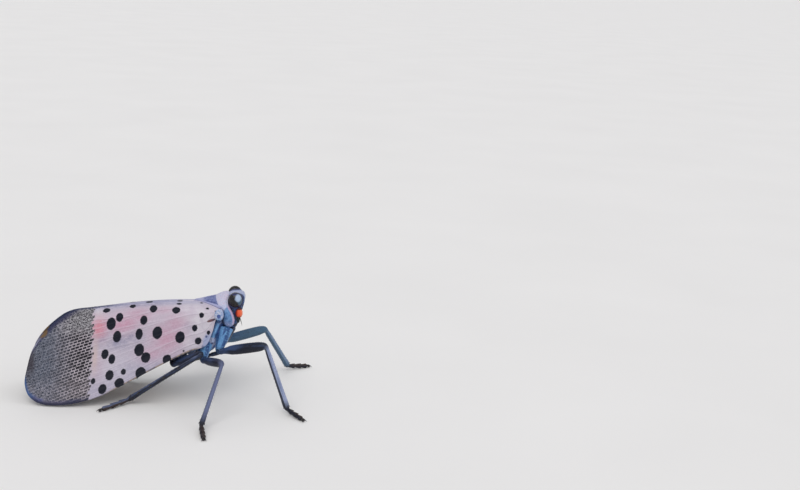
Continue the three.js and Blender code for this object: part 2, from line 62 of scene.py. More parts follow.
TAIL_X, HINGE_X = -16.6, 6.85
PARTING = 0.03
FOREWING_INNER = [
    [6.85, 2.1], [5.3, 1.0], [3.7, 0.03], [1, 0], [-3, 0], [-7.6, 0],
    [-9.8, 0.12], [-12.3, 1.2], [-14.5, 2.95], [-15.85, 4.9], [-16.4, 7.1],
]
FOREWING_OUTER = [
    [6.85, 3.2], [6.15, 3.6], [5.7, 5.2], [4.9, 6.8], [2.8, 7.45], [-1.0, 9.0],
    [-5.5, 10.9], [-8.8, 11.85], [-11.7, 12.1], [-14.3, 11.65], [-15.9, 10.5], [-16.55, 8.8], [-16.4, 7.1],
]
HINDWING_INNER = [[3.1, 2.5], [1.0, 2.6], [-4, 2.9], [-8, 3.3], [-11, 4.3], [-12.6, 6.3]]
HINDWING_OUTER = [[3.1, 4.4], [1.0, 6.6], [-4, 9.1], [-8, 10.2], [-11.2, 9.8], [-12.6, 7.9]]
HINDWING_INSET = 0.96
NODAL_LINE = 0.61
BORDER_X, BORDER_SLANT = -8.55, -0.025

# Main veins: share across the wing at the root, at the netted end, and where the vein leaves its stem
FOREWING_VEINS = [
    [0.1, 0.045, 0.16], [0.1, 0.1, 0], [0.1, 0.155, 0.3], [0.26, 0.21, 0.22], [0.26, 0.26, 0],
    [0.26, 0.315, 0.36], [0.42, 0.37, 0.14], [0.42, 0.42, 0], [0.42, 0.485, 0.26], [0.6, 0.55, 0.34],
    [0.6, 0.6, 0], [0.6, 0.665, 0.18], [0.78, 0.725, 0.28], [0.78, 0.78, 0], [0.78, 0.85, 0.4],
    [0.93, 0.93, 0],
]
HINDWING_VEINS = [
    [0.16, 0.1, 0.3], [0.16, 0.2, 0], [0.36, 0.32, 0.25], [0.36, 0.42, 0.4],
    [0.56, 0.52, 0.3], [0.56, 0.62, 0], [0.76, 0.72, 0.35], [0.76, 0.84, 0],
]

# Dark spots of the forewing: place along the body, distance down the roof, and the two half sizes
SPOTS = [
    [1.7, 0.12, 0.33, 0.2], [1.62, 0.9, 0.31, 0.2], [-2.0, 0.15, 0.44, 0.22], [-1.45, 1.62, 0.46, 0.62],
    [1.3, 2.1, 0.5, 0.56], [-3.97, 0.95, 0.39, 0.29], [-7.1, 1.15, 0.46, 0.34], [-5.52, 2.3, 0.44, 0.55],
    [-6.52, 2.93, 0.56, 0.78], [-5.77, 4.62, 0.5, 0.73], [-2.6, 3.03, 0.44, 0.57], [-3.12, 4.67, 0.44, 0.69],
    [-0.93, 4.75, 0.6, 0.78], [1.82, 5.58, 0.58, 0.73], [4.38, 3.0, 0.29, 0.41], [5.08, 1.88, 0.2, 0.19],
    [4.35, 0.75, 0.2, 0.09], [6.1, 2.35, 0.16, 0.1], [3.58, 4.58, 0.33, 0.42], [5.25, 5.23, 0.22, 0.27],
    [4.03, 6.18, 0.42, 0.43], [2.28, 7.28, 0.14, 0.14],
    [-3.07, 6.6, 0.6, 0.76], [-2.25, 7.62, 0.57, 0.65], [0.3, 8.12, 0.52, 0.58], [-7.17, 6.55, 0.44, 0.62],
    [-6.32, 7.28, 0.41, 0.61], [-4.88, 9.05, 0.31, 0.38], [-6.52, 9.22, 0.5, 0.64], [-2.8, 9.45, 0.64, 0.74],
    [-5.32, 10.35, 0.58, 0.61], [-8.45, 9.65, 0.28, 0.38], [-7.3, 10.8, 0.5, 0.62],
]
# Soft colour fields of the forewing: place along, distance down, the two half sizes and the strength
FLUSH_FIELDS = [
    [-7.9, 3.25, 1.15, 1.25, 1.0], [-5.0, 3.2, 1.9, 1.1, 0.75], [-3.4, 2.4, 1.8, 1.0, 0.55],
    [0.2, 5.6, 1.9, 1.9, 0.62], [1.2, 3.9, 1.5, 1.2, 0.5], [-1.4, 7.2, 1.6, 1.0, 0.45],
    [-0.2, 2.0, 1.6, 0.6, 0.35], [-8.0, 8.0, 1.0, 1.8, 0.16],
]
CREAM_FIELDS = [
    [4.6, 3.6, 2.0, 2.2, 0.8], [3.0, 1.8, 2.0, 1.2, 0.5], [-7.9, 1.4, 0.7, 0.9, 0.7],
    [-6.5, 8.6, 2.6, 1.6, 0.3], [3.2, 6.2, 1.4, 0.9, 0.6],
]
GREY_FIELDS = [
    [-4.9, 5.2, 2.2, 0.9, 0.9], [-7.4, 4.9, 1.2, 0.8, 0.6], [-3.6, 0.6, 3.6, 0.5, 0.7],
    [-1.6, 9.0, 3.0, 0.9, 0.35], [2.5, 4.3, 1.3, 0.5, 0.3], [-6.3, 11.0, 2.4, 0.6, 0.3],
]

EYE = {"centre": (8.46, 1.56, 12.72), "half": (0.86, 0.72, 0.94)}
ANTENNA = {"centre": (8.95, 1.56, 11.02), "half": (0.42, 0.42, 0.58)}
TEGULA = {"centre": (6.5, 2.78, 11.1), "half": (0.56, 0.32, 0.76)}
HEAD_TOP, HEAD_LOW = 13.45, 8.75
PRONOTUM_TOP, PRONOTUM_LOW, PRONOTUM_FALL = 13.6, 8.85, 0.85
SHIELD_FRONT, SHIELD_TIP, SHIELD_BASE = 7.0, 3.35, 11.3
THORAX = {
    "front": 7.1, "back": 1.6, "half": 2.5, "top": 11.3,
    "grooves": ((6.35, 0.13), (5.4, 0.1), (4.3, 0.11), (3.0, 0.12)),
    "lobes": ((5.87, 0.22), (6.85, 0.3), (4.85, 0.36), (3.6, 0.42)),
}
ABDOMEN = {"front": 2.2, "tail": -8.7, "half": 2.5, "rings": 8}
CLYPEUS = ((8.28, 0, 8.95), (7.05, 0, 6.3))
BEAK = ((7.05, 0, 6.4), (6.6, 0, 5.35), (0.9, 0, 3.7))

# Legs: hip and thigh root, knee, half width and half depth of thigh and shin, and length and heading
# of shin and foot, on the left and the right side where the two differ
ANKLE_HEIGHT, ANKLE_CENTRE, SOLE_CENTRE = 0.72, 0.6, 0.24
LEG_BENDS = [0, 0.5, 0.55, 0.34, 0]
LEGS = {
    "fore": {
        "coxa": ((7.3, 1.5, 8.8), (6.5, 2.05, 6.15)), "femur": (0.6, 0.46), "tibia": (0.37, 0.3),
        "knee": {"left": (12.5, 4.3, 7.2), "right": (12.2, 4.7, 7.8)},
        "shin": {"left": (8.7, 54), "right": (8.05, 45)}, "foot": {"left": (2.9, 22), "right": (2.9, 56)},
    },
    "mid": {
        "coxa": ((4.9, 1.7, 7.1), (4.6, 2.6, 5.2)), "femur": (0.5, 0.42), "tibia": (0.35, 0.28),
        "knee": dict.fromkeys(SIDES, (6.95, 7.4, 6.4)),
        "shin": dict.fromkeys(SIDES, (8.1, 114)), "foot": dict.fromkeys(SIDES, (2.9, 84)),
    },
    "hind": {
        "coxa": ((1.8, 1.1, 5.6), (0.9, 1.95, 4.4)), "femur": (0.5, 0.44), "tibia": (0.37, 0.31),
        "knee": dict.fromkeys(SIDES, (4.6, 4.7, 6.75)),
        "shin": dict.fromkeys(SIDES, (10.7, 185)), "foot": {"left": (3.9, 142), "right": (3.9, 140)},
    },
}
# For half width and then half depth: sizes of the hip, and shares of the thigh's and of the shin's size
LEG_STATIONS = [0, 0.45, 0.8, 0.95, 1.0, 1.06, 1.12, 1.3, 1.6, 1.85, 1.95, 2.0, 2.05, 2.13, 2.8, 2.95, 3.0]
LEG_SHAPES = (
    ((0.85, 0.78, 0.56, 0.46, 0.42, 0.4, 0.36), (0.92, 1, 0.93, 0.82, 0.74), (0.78, 0.84, 0.96, 1.08, 0.8)),
    ((0.75, 0.7, 0.53, 0.45, 0.41, 0.39, 0.34), (0.92, 1, 0.95, 0.88, 0.78), (0.8, 0.85, 0.95, 1.08, 0.85)),
)
FOOT_SIZES = [
    (3.05, 0.22), (3.16, 0.26), (3.3, 0.31), (3.35, 0.23), (3.45, 0.26),
    (3.62, 0.31), (3.67, 0.23), (3.8, 0.26), (3.93, 0.3), (4, 0.2),
]
HIND_SPINES = [0.3, 0.5, 0.68, 0.84]

# Camera: degrees up and towards the head, sensor width, picture size, and the origin's place in the picture
CAMERA_RISE, CAMERA_SWING = 20, 2
SENSOR, PICTURE, ORIGIN_PIXEL = 36, (800, 490), (165, 393)


# Shape maths


def through(knots):
    """A smooth curve through [place, value] knots: on each span the cubic with slopes (next - last) / (their
    distance) at its two knots, held level past both ends."""
    place, value = np.array(knots, float).T
    slope = np.empty_like(value)
    slope[1:-1] = (value[2:] - value[:-2]) / (place[2:] - place[:-2])
    slope[0] = (value[1] - value[0]) / (place[1] - place[0])
    slope[-1] = (value[-1] - value[-2]) / (place[-1] - place[-2])

    def curve(x):
        x = np.asarray(x, float)
        i = np.clip(np.searchsorted(place, x) - 1, 0, len(place) - 2)
        span = place[i + 1] - place[i]
        t = np.clip((x - place[i]) / span, 0, 1)
        start = (1 + 2 * t) * (1 - t) ** 2 * value[i] + t * (1 - t) ** 2 * span * slope[i]
        return start + t * t * (3 - 2 * t) * value[i + 1] + t * t * (t - 1) * span * slope[i + 1]

    return curve


ridge_height = through([[TAIL_X, 10.2], [-8.9, 11.2], [-4.4, 11.8], [0.5, 12.15], [HINGE_X, 12.25]])
shoulder_reach = through([[TAIL_X, 0.5], [-8, 0.85], [-2, 1.4], [2, 2.05], [HINGE_X, 2.75]])
shoulder_drop = through([[TAIL_X, 0.8], [-8, 0.95], [-2, 1.1], [2, 1.27], [HINGE_X, 1.42]])
side_slope = through([[TAIL_X, 77], [-8, 77], [0, 76], [4.4, 78], [HINGE_X, 80]])
side_flare = through([[TAIL_X, 2.1], [-8, 2.1], [0, 1.6], [4.4, 0.6], [HINGE_X, 0.5]])
inner_edge_down = through(FOREWING_INNER[::-1])
outer_share = through([[0, 0], [NODAL_LINE, 0.665], [1, 1]])
head_front = through([[8.75, 8.8], [9.9, 9.07], [11.2, 9.3], [12.65, 9.78], [13.1, 9.9], [13.45, 9.72]])
head_back = through([[8.75, 7.75], [11.2, 7.35], [12.65, 7.4], [13.45, 7.6]])
head_half_width = through([[8.75, 0.78], [9.9, 1.15], [11.0, 1.58], [12.7, 1.74], [13.45, 1.55]])
pronotum_front = through(
    [[8.85, 8.0], [9.4, 8.35], [10.3, 8.4], [11.2, 8.1], [12.1, 7.62], [12.9, 7.7], [13.6, 8.1]]
)
pronotum_back = through([[8.85, 7.35], [9.6, 7.05], [11.4, 6.9], [12.0, 6.6], [12.5, 6.05], [13.2, 5.8]])
pronotum_half_width = through([[8.85, 2.2], [10, 2.62], [11.3, 2.55], [12.4, 2.3], [13.6, 2.0]])
shield_top = through([[3.35, 12.3], [4.1, 12.4], [5.3, 12.57], [7.0, 12.88]])
thorax_low = through([[1.6, 4.85], [4.5, 5.3], [5.9, 5.72], [6.5, 6.2], [7.1, 6.35]])
beak_size = through(
    [[0, 0.26], [0.28, 0.27], [0.32, 0.21], [0.36, 0.25], [0.7, 0.22], [0.73, 0.17], [0.76, 0.2], [1, 0.12]]
)
abdomen_top = through([[-8.7, 3.9], [-5, 6.6], [-1, 8.9], [1.75, 10.1]])
abdomen_low = through([[-8.7, 2.1], [-6, 1.75], [-3, 2.7], [1.75, 5.6]])


def smooth(value, low, high):
    """0 below low, 1 above high, and 3t² - 2t³ of the share t between them."""
    t = np.clip((value - low) / (high - low), 0, 1)
    return t * t * (3 - 2 * t)


def bell(value, width):
    """A bump of height 1 about 0: e to the power -(value / width)²."""
    return np.exp(-((value / width) ** 2))


def signed(value, power):
    """The value's size to a power, its sign kept: it squares off the circle that cosine and sine trace."""
    return np.sign(value) * np.abs(value) ** power


def domed(t, power):
    """Fullness along a body: sin(pi t) to a power, and none at both poles."""
    return np.maximum(np.sin(np.pi * t), 0) ** power


def unit(vectors):
    """Each vector divided by its own length."""
    return vectors / np.maximum(np.linalg.norm(vectors, axis=-1, keepdims=True), 1e-12)


def travelled(line):
    """Distance along a line of points: the sum of the steps' lengths up to each."""
    return np.concatenate([[0], np.cumsum(np.linalg.norm(np.diff(line, axis=0), axis=1))])


def round_end(distance, radius):
    """Fullness near a round end: sqrt(1 - (1 - d)²) of the distance d in radii, and 1 past one radius."""
    return np.sqrt(np.maximum(0, 1 - (1 - np.minimum(distance / radius, 1)) ** 2))


def turns(columns):
    """Angles once round."""
    return np.linspace(0, 2 * np.pi, columns, endpoint=False)


def grid(rows, columns):
    """Shares from pole to pole as a column, and angles once round as a row."""
    return np.linspace(0, 1, rows)[:, None], turns(columns)[None, :]


def stacked(x, y, z):
    """Three values spread over one grid, as its last dimension."""
    return np.stack(np.broadcast_arrays(x, y, z), -1)


def sections(across, beside, wide, deep, columns):
    """Ovals along a line, about its own places: across * wide * cos a + beside * deep * sin a."""
    a = turns(columns)[None, :, None]
    return (across * wide[:, None])[:, None] * np.cos(a) + (beside * deep[:, None])[:, None] * np.sin(a)


def roof(x, down, inset, side, parting=PARTING):
    """The roof of the closed wings: from the ridge an elliptic shoulder, whose angle grows with the distance
    down, and then a side that leans outwards by so many degrees a millimetre. inset is the depth under it."""
    reach = np.maximum(shoulder_reach(x) - inset, 0.05)
    drop = np.maximum(shoulder_drop(x) - inset, 0.05)
    slope, flare = np.radians(side_slope(x)), np.radians(side_flare(x))
    turn = np.arctan(shoulder_reach(x) / shoulder_drop(x) * np.tan(slope))
    shoulder = np.pi / 4 * (shoulder_reach(x) + shoulder_drop(x))
    angle = turn * np.minimum(down / shoulder, 1)
    end = slope - flare * np.maximum(down - shoulder, 0)
    y = side * (parting + reach * np.sin(angle) + (np.sin(slope) - np.sin(end)) / flare)
    z = ridge_height(x) - inset - drop * (1 - np.cos(angle)) - (np.cos(end) - np.cos(slope)) / flare
    return stacked(x, y, z)


def outline(knots, shares):
    """Points at shares of the length of the Catmull-Rom curve through the knots, on each span half of
    2b + (c - a)t + (2a - 5b + 4c - d)t² + (3b - a - 3c + d)t³."""
    knots = np.array(knots, float)
    padded = np.vstack([knots[:1], knots, knots[-1:]])
    place = np.linspace(0, len(knots) - 1, 2001)
    i = np.minimum(place.astype(int), len(knots) - 2)
    t = (place - i)[:, None]
    a, b, c, d = (padded[i + k] for k in range(4))
    curve = (2 * b + (c - a) * t + (2 * a - 5 * b + 4 * c - d) * t**2 + (3 * b - a - 3 * c + d) * t**3) / 2
    length = travelled(curve)
    at = np.asarray(shares) * length[-1]
    return np.stack([np.interp(at, length, curve[:, k]) for k in range(2)], -1)


def raised(points, relief):
    """A ring grid moved outwards by relief, along the cross product of its two directions."""
    along = np.gradient(points, axis=0)
    around = np.roll(points, -1, 1) - np.roll(points, 1, 1)
    normal = unit(np.cross(along, around))
    outward = np.sign(np.sum(normal * (points - points.mean((0, 1)))))
    return points + outward * normal * np.asarray(relief)[..., None]


def oval(centre, half, side, rows, columns):
    """An oval ball: centre + half * (sin pi t cos a, sin pi t sin a, cos pi t)."""
    t, a = grid(rows, columns)
    ring = np.sin(np.pi * t)
    return stacked(
        centre[0] + half[0] * ring * np.cos(a),
        side * centre[1] + half[1] * ring * np.sin(a),
        centre[2] + half[2] * np.cos(np.pi * t) + 0 * a,
    )


def distance_to(points, centre, half, side):
    """How many times the oval's own size a point lies from its centre."""
    middle = np.array([centre[0], side * centre[1], centre[2]])
    return np.linalg.norm((points - middle) / np.array(half), axis=-1)


def under_roof(points, inset):
    """Rows of constant x drawn in so that they stay under the roof at an inset: each half width is cut to the
    roof's own half width at that height."""
    made = points.copy()
    down = np.linspace(0, 16, 240)
    for row in made[1:-1]:
        profile = roof(row[0, 0], down, inset, 1, 0.17)
        row[:, 2] = np.minimum(row[:, 2], profile[0, 2] - 0.02)
        limit = np.interp(-row[:, 2], -profile[:, 2], profile[:, 1])
        row[:, 1] = np.sign(row[:, 1]) * np.minimum(np.abs(row[:, 1]), limit)
    return made


def spine(root, tip, radius, bow=(0, 0, 0), rows=6, columns=6):
    """A thorn from root to tip: its centre line is root + (tip - root)s + bow * 4s(1 - s), and its radius
    falls as (1 - s) to the power 0.8."""
    root, tip, bow = (np.array(p, float) for p in (root, tip, bow))
    s = np.linspace(0, 1, rows)[:, None]
    centre = root + (tip - root) * s + bow * 4 * s * (1 - s)
    axis = unit(np.gradient(centre, axis=0))
    across = unit(np.cross(axis, [0.3, 0.2, 0.93]))
    size = radius * (1 - s[:, 0]) ** 0.8
    points = centre[:, None] + sections(across, np.cross(axis, across), size, size, columns)
    return np.concatenate([np.repeat(root[None, None], columns, 1), points])


# Meshes


def insect_origin():
    """Where the insect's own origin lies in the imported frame, in metres, from the middle of its two eyes."""
    corners = [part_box(f"eye_{side}") for side in SIDES]
    middle = sum((np.array(low) + np.array(high)) / 2 for low, high in corners) / 2
    return middle - np.array([EYE["centre"][0], 0, EYE["centre"][2]]) / 1000


ORIGIN = insect_origin()


def capped(points):
    """The grid with a pole added past each end, at the mean of the end row."""
    ends = [np.repeat(points[i].mean(0)[None, None], points.shape[1], 1) for i in (0, -1)]
    return np.concatenate([ends[0], points, ends[1]])


def skin(points, **values):
    """One closed surface over a ring grid whose first and last rows are poles: corner places, faces turned
    outwards, and named values for each corner."""
    rows, columns = points.shape[:2]
    rings = np.arange(1, 1 + (rows - 2) * columns).reshape(rows - 2, columns)
    beside = np.roll(rings, -1, 1)
    last = rings.max() + 1
    quads = np.stack([rings[:-1], beside[:-1], beside[1:], rings[1:]], -1).reshape(-1, 4)
    fans = np.concatenate([
        np.stack([np.zeros(columns, int), beside[0], rings[0]], -1),
        np.stack([np.full(columns, last), rings[-1], beside[-1]], -1),
    ])

    def flat(held):
        return np.concatenate([held[:1].mean(1), held[1:-1].reshape(-1, *held.shape[2:]), held[-1:].mean(1)])

    corners = flat(points)
    split = np.concatenate([quads[:, [0, 1, 2]], quads[:, [0, 2, 3]], fans])
    a, b, c = (corners[split[:, k]] for k in range(3))
    if np.sum(np.cross(a, b) * c) < 0:
        quads, fans = quads[:, ::-1], fans[:, ::-1]
    values = {label: flat(held) for label, held in values.items()}
    return {"corners": corners, "quads": quads, "fans": fans, "values": values}


def linked(name, data):
    """A new object of the scene that holds the data."""
    made = bpy.data.objects.new(name, data)
    bpy.context.scene.collection.objects.link(made)
    return made


def piece(name, skins, finish, replaced=()):
    """One object from closed surfaces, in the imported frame, with each named value as a mesh attribute."""
    counts = np.cumsum([0] + [len(s["corners"]) for s in skins])
    quads, fans = (
        np.concatenate([s[faces] + start for s, start in zip(skins, counts)]) for faces in ("quads", "fans")
    )
    corners = np.concatenate([s["corners"] for s in skins]) / 1000 + ORIGIN
    mesh = bpy.data.meshes.new(name)
    mesh.vertices.add(len(corners))
    mesh.vertices.foreach_set("co", corners.astype(np.float32).ravel())
    mesh.loops.add(quads.size + fans.size)
    mesh.loops.foreach_set("vertex_index", np.concatenate([quads.ravel(), fans.ravel()]).astype(np.int32))
    mesh.polygons.add(len(quads) + len(fans))
    starts = np.concatenate([np.arange(len(quads)) * 4, quads.size + np.arange(len(fans)) * 3])
    mesh.polygons.foreach_set("loop_start", starts.astype(np.int32))
    mesh.update(calc_edges=True)
    mesh.validate()
    mesh.shade_smooth()
    for label in skins[0]["values"]:
        values = np.concatenate([s["values"][label] for s in skins]).astype(np.float32)
        layer = mesh.attributes.new(label, "FLOAT_VECTOR", "POINT")
        layer.data.foreach_set("vector", values.ravel())
    made = linked(name, mesh)
    mesh.materials.append(finish.material)
    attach(made, "root")
    if replaced:
        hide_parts(*replaced)
    return made


# Finishes


def shade(red, green, blue):
    """A screen colour, 0 to 255, as the linear colour of a shader: ((c + 0.055) / 1.055) to the 2.4."""
    c = np.array([red, green, blue]) / 255
    line = np.where(c <= 0.04045, c / 12.92, ((c + 0.055) / 1.055) ** 2.4)
    return tuple(float(v) for v in line)


def opaque(colour):
    """A colour with full cover."""
    return (*tuple(colour)[:3], 1.0)


class Number:
    """A socket that carries one number. Arithmetic with it adds Math nodes to its finish."""

    def __init__(self, finish, socket):
        self.finish = finish
        self.socket = socket

    def __add__(self, other):
        return self.finish.maths("ADD", self, other)

    def __sub__(self, other):
        return self.finish.maths("SUBTRACT", self, other)

    def __rsub__(self, other):
        return self.finish.maths("SUBTRACT", other, self)

    def __mul__(self, other):
        return self.finish.maths("MULTIPLY", self, other)

    def __truediv__(self, other):
        return self.finish.maths("DIVIDE", self, other)

    __radd__ = __add__
    __rmul__ = __mul__


class Finish:
    """A procedural material round one Principled shader."""

    def __init__(self, name, roughness, gloss, more=None):
        self.material = bpy.data.materials.new(name)
        self.material.use_nodes = True
        self.tree = self.material.node_tree
        self.shader = self.tree.nodes["Principled BSDF"]
        for label, value in {"Roughness": roughness, "Specular IOR Level": gloss, **(more or {})}.items():
            self.shader.inputs[label].default_value = value

    def node(self, kind, settings=None, values=None):
        """A node of a type: its settings first, ramp stops among them, then its sockets' values or links."""
        made = self.tree.nodes.new(kind)
        for label, value in (settings or {}).items():
            if label == "stops":
                self.set_stops(made.color_ramp, value)
            else:
                setattr(made, label, value)
        for label, value in (values or {}).items():
            self.put(made.inputs[label], value)
        return made

    def set_stops(self, ramp, stops):
        """Gives a ramp its stops, each as (place, colour)."""
        while len(ramp.elements) < len(stops):
            ramp.elements.new(1.0)
        for element, (place, colour) in zip(ramp.elements, stops):
            element.position = place
            element.color = opaque(colour)

    def put(self, socket, value):
        """Links a socket or a Number to a socket, or sets a plain value on it."""
        value = getattr(value, "socket", value)
        if isinstance(value, bpy.types.NodeSocket):
            self.tree.links.new(value, socket)
        else:
            socket.default_value = value

    def maths(self, operation, first, second=0.0):
        """A Math node's result."""
        made = self.node("ShaderNodeMath", {"operation": operation}, {0: first, 1: second})
        return Number(self, made.outputs[0])

    def most(self, first, *others):
        """The largest of several numbers."""
        for other in others:
            first = self.maths("MAXIMUM", first, other)
        return first

    def place(self):
        """Object coordinates as millimetres in the insect's own frame."""
        held = self.node("ShaderNodeTexCoord").outputs["Object"]
        settings = {"operation": "MULTIPLY_ADD"}
        values = {0: held, 1: (1000, 1000, 1000), 2: tuple(-1000 * ORIGIN)}
        return self.node("ShaderNodeVectorMath", settings, values).outputs[0]

    def attribute(self, name):
        """A piece's own named values."""
        return self.node("ShaderNodeAttribute", {"attribute_name": name}).outputs["Vector"]

    def parts(self, vector):
        """The three numbers of a vector."""
        made = self.node("ShaderNodeSeparateXYZ", None, {0: vector})
        return [Number(self, socket) for socket in made.outputs]

    def stretched(self, vector, factors):
        """A vector times a factor on each axis."""
        values = {0: vector, 1: factors}
        return self.node("ShaderNodeVectorMath", {"operation": "MULTIPLY"}, values).outputs[0]

    def joined(self, x, y, z=0.0):
        """A vector of three numbers."""
        return self.node("ShaderNodeCombineXYZ", None, {0: x, 1: y, 2: z}).outputs[0]

    def noise(self, vector, scale, detail=2.0):
        """Soft clouds from 0 to 1."""
        values = {"Vector": vector, "Scale": scale, "Detail": detail}
        return Number(self, self.node("ShaderNodeTexNoise", None, values).outputs[0])

    def cells(self, vector, scale, feature="DISTANCE_TO_EDGE"):
        """Distance to the edges, or with F1 to the middles, of irregular cells."""
        made = self.node("ShaderNodeTexVoronoi", {"feature": feature}, {"Vector": vector, "Scale": scale})
        return Number(self, made.outputs["Distance"])

    def chance(self, vector):
        """A number from 0 to 1 drawn for each place."""
        return Number(self, self.node("ShaderNodeTexWhiteNoise", None, {"Vector": vector}).outputs["Value"])

    def step(self, value, low, high, bottom=0.0, top=1.0):
        """A smooth step from bottom to top as the value goes from low to high."""
        values = {"Value": value, "From Min": low, "From Max": high, "To Min": bottom, "To Max": top}
        made = self.node("ShaderNodeMapRange", {"interpolation_type": "SMOOTHSTEP"}, values)
        return Number(self, made.outputs[0])

    def near(self, value, middle, width):
        """1 where a value is at middle, and 0 from width away."""
        return self.step(self.maths("ABSOLUTE", value - middle), 0.0, width, 1.0, 0.0)

    def mix(self, factor, first, second, blend="MIX"):
        """Two colours mixed by a factor."""
        first, second = (opaque(tint) if hasattr(tint, "__len__") else tint for tint in (first, second))
        settings = {"data_type": "RGBA", "blend_type": blend}
        return self.node("ShaderNodeMix", settings, {0: factor, 6: first, 7: second}).outputs[2]

    def layers(self, base, *over):
        """Colours laid over a base one after another, each as (mask, colour)."""
        for mask, colour in over:
            base = self.mix(mask, base, colour)
        return base

    def lit(self, colour, factor):
        """A colour made lighter or darker by a number about 1."""
        return self.mix(1.0, colour, self.joined(factor, factor, factor), "MULTIPLY")

    def paint(self, colour, roughness=None, height=None):
        """Feeds the shader: colour, roughness, and a relief height in millimetres."""
        self.put(self.shader.inputs["Base Color"], colour)
        if roughness is not None:
            self.put(self.shader.inputs["Roughness"], roughness)
        if height is not None:
            bump = self.node("ShaderNodeBump", None, {"Strength": 1.0, "Distance": 0.001, "Height": height})
            self.put(self.shader.inputs["Normal"], bump.outputs[0])
        return self


# Properties


def colour_property(name, description, red, green, blue):
    """A colour given in screen values, 0 to 255."""
    return FloatVectorProperty(
        name=name, description=description, subtype="COLOR", size=3, min=0.0, max=1.0,
        default=shade(red, green, blue),
    )


def length_property(name, description, millimetres):
    """A length given in millimetres and held in metres."""
    return FloatProperty(
        name=name, description=description, unit="LENGTH", subtype="DISTANCE", min=0.0, precision=6,
        default=millimetres / 1000,
    )


def count_property(name, description, count, least):
    """A whole number of mesh lines or bristles."""
    return IntProperty(name=name, description=description, default=count, min=least, max=400)


def plain_property(name, description, value, least=0.0):
    """A number that Blender has no unit for here."""
    return FloatProperty(name=name, description=description, default=value, min=least)


class LanternflyWings(bpy.types.PropertyGroup):
    """Sizes and colours of the four wings."""

    thickness: length_property("Wing thickness", "Thickness of a forewing between its veins", 0.16)
    vein_rise: length_property("Vein rise", "How far a main vein stands above the wing", 0.07)
    vein_width: length_property("Vein width", "Half width of a main vein", 0.075)
    net_rise: length_property("Net rise", "How far the net of the wing's end stands above its cells", 0.022)
    net_pitch: length_property("Net pitch", "Distance between two rows of cells in the wing's end", 0.345)
    net_cell: length_property("Net cell", "Length of a cell in the wing's end", 0.56)
    rows_near: count_property("Rows to the net", "Mesh rows from the hinge to the net", 130, 20)
    rows_net: count_property("Rows in the net", "Mesh rows across the netted end", 122, 20)
    lines: count_property("Lines across", "Mesh lines across the outer face", 176, 40)
    ground: colour_property("Ground", "Ground colour of the forewing", 186, 176, 190)
    flush: colour_property("Flush", "Pink flush of the forewing", 194, 134, 160)
    salmon: colour_property("Salmon", "Salmon patch beside the net", 206, 130, 146)
    cream: colour_property("Cream", "Cream tint near the hinge", 220, 216, 222)
    grey: colour_property("Lilac grey", "Lilac grey bands of the forewing", 120, 121, 150)
    # The vein colour also paints the highlight along the forewing's inner edge
    vein: colour_property("Vein", "Main veins of the forewing", 216, 208, 220)
    spot: colour_property("Spot", "Dark spots of the forewing", 12, 16, 32)
    net_vein: colour_property("Net vein", "Net veins of the wing's end", 184, 174, 182)
    net_far_vein: colour_property("Far net vein", "Duller net veins towards the wing's tip", 124, 129, 143)
    net_cell_colour: colour_property("Net cells", "Cells of the wing's end", 28, 27, 36)
    net_far_cell: colour_property("Far cells", "Paler cells towards the wing's tip", 48, 54, 70)
    margin: colour_property("Margin", "Blue hind margin of the wing's end", 54, 88, 142)
    margin_grey: colour_property("Upper margin", "Navy violet upper margin of the wing's end", 50, 50, 82)
    red: colour_property("Hindwing red", "Root of the hindwing", 196, 32, 30)
    white: colour_property("Hindwing white", "Band of the hindwing", 222, 216, 206)
    black: colour_property("Hindwing black", "Spots and end of the hindwing", 22, 20, 24)


class LanternflyBody(bpy.types.PropertyGroup):
    """Sizes and colours of the head and body."""

    rim: length_property("Rim rise", "How far the rims round eye and feeler stand up", 0.07)
    groove: length_property("Groove depth", "Depth of the grooves between the side plates", 0.16)
    crown: colour_property("Crown", "Pale lilac of crown and pronotum", 200, 200, 222)
    fleck: colour_property("Fleck", "Pinkish flecks of the pronotum", 214, 186, 206)
    sky: colour_property("Sky blue", "Waxy blue of the lobes and side plates", 100, 142, 192)
    deep: colour_property("Deep blue", "Blue in the hollows", 54, 92, 148)
    # Ink also serves as the painted shade on the low part of the thorax
    ink: colour_property("Ink", "Blue-black of grooves and face", 22, 28, 46)
    shield: colour_property("Shield", "Blue-violet of the mesonotum", 112, 122, 172)
    eye: colour_property("Eye", "Dark brown of the eye", 18, 15, 15)
    # Painted reflection: the pale blue sheen painted on the eye's outer face
    eye_sheen: colour_property("Eye sheen", "Pale blue sheen on the eye's outer face", 184, 204, 232)
    feeler: colour_property("Feeler", "Orange of the swollen feeler", 236, 88, 44)
    belly: colour_property("Belly", "Yellow of the abdomen", 196, 162, 62)
    band: colour_property("Band", "Dark bands of the abdomen", 34, 32, 36)


class LanternflyLegs(bpy.types.PropertyGroup):
    """Sizes and colours of the legs."""

    spine_length: length_property("Spine length", "Length of a hind shin's side spine", 0.8505)
    bristle_length: length_property("Bristle length", "Length of a leg's short bristles", 0.2)
    bristles: count_property("Bristles", "Bristles along each row of a leg", 16, 0)
    # Leg ink is also the painted shade under the thighs and behind the shins
    ink: colour_property("Leg ink", "Blue-black of the thighs", 22, 26, 42)
    thigh: colour_property("Thigh blue", "Dull blue of the thighs", 58, 76, 114)
    steel: colour_property("Leg steel", "Blue bloom of hips and fore legs", 104, 154, 206)
    shin: colour_property("Shin", "Pale lavender blue of the fore shins", 152, 162, 194)
    pale: colour_property("Leg bloom", "Slate violet bloom of the middle shins", 98, 106, 140)
    brown: colour_property("Foot brown", "Brown-black of the feet", 52, 40, 38)


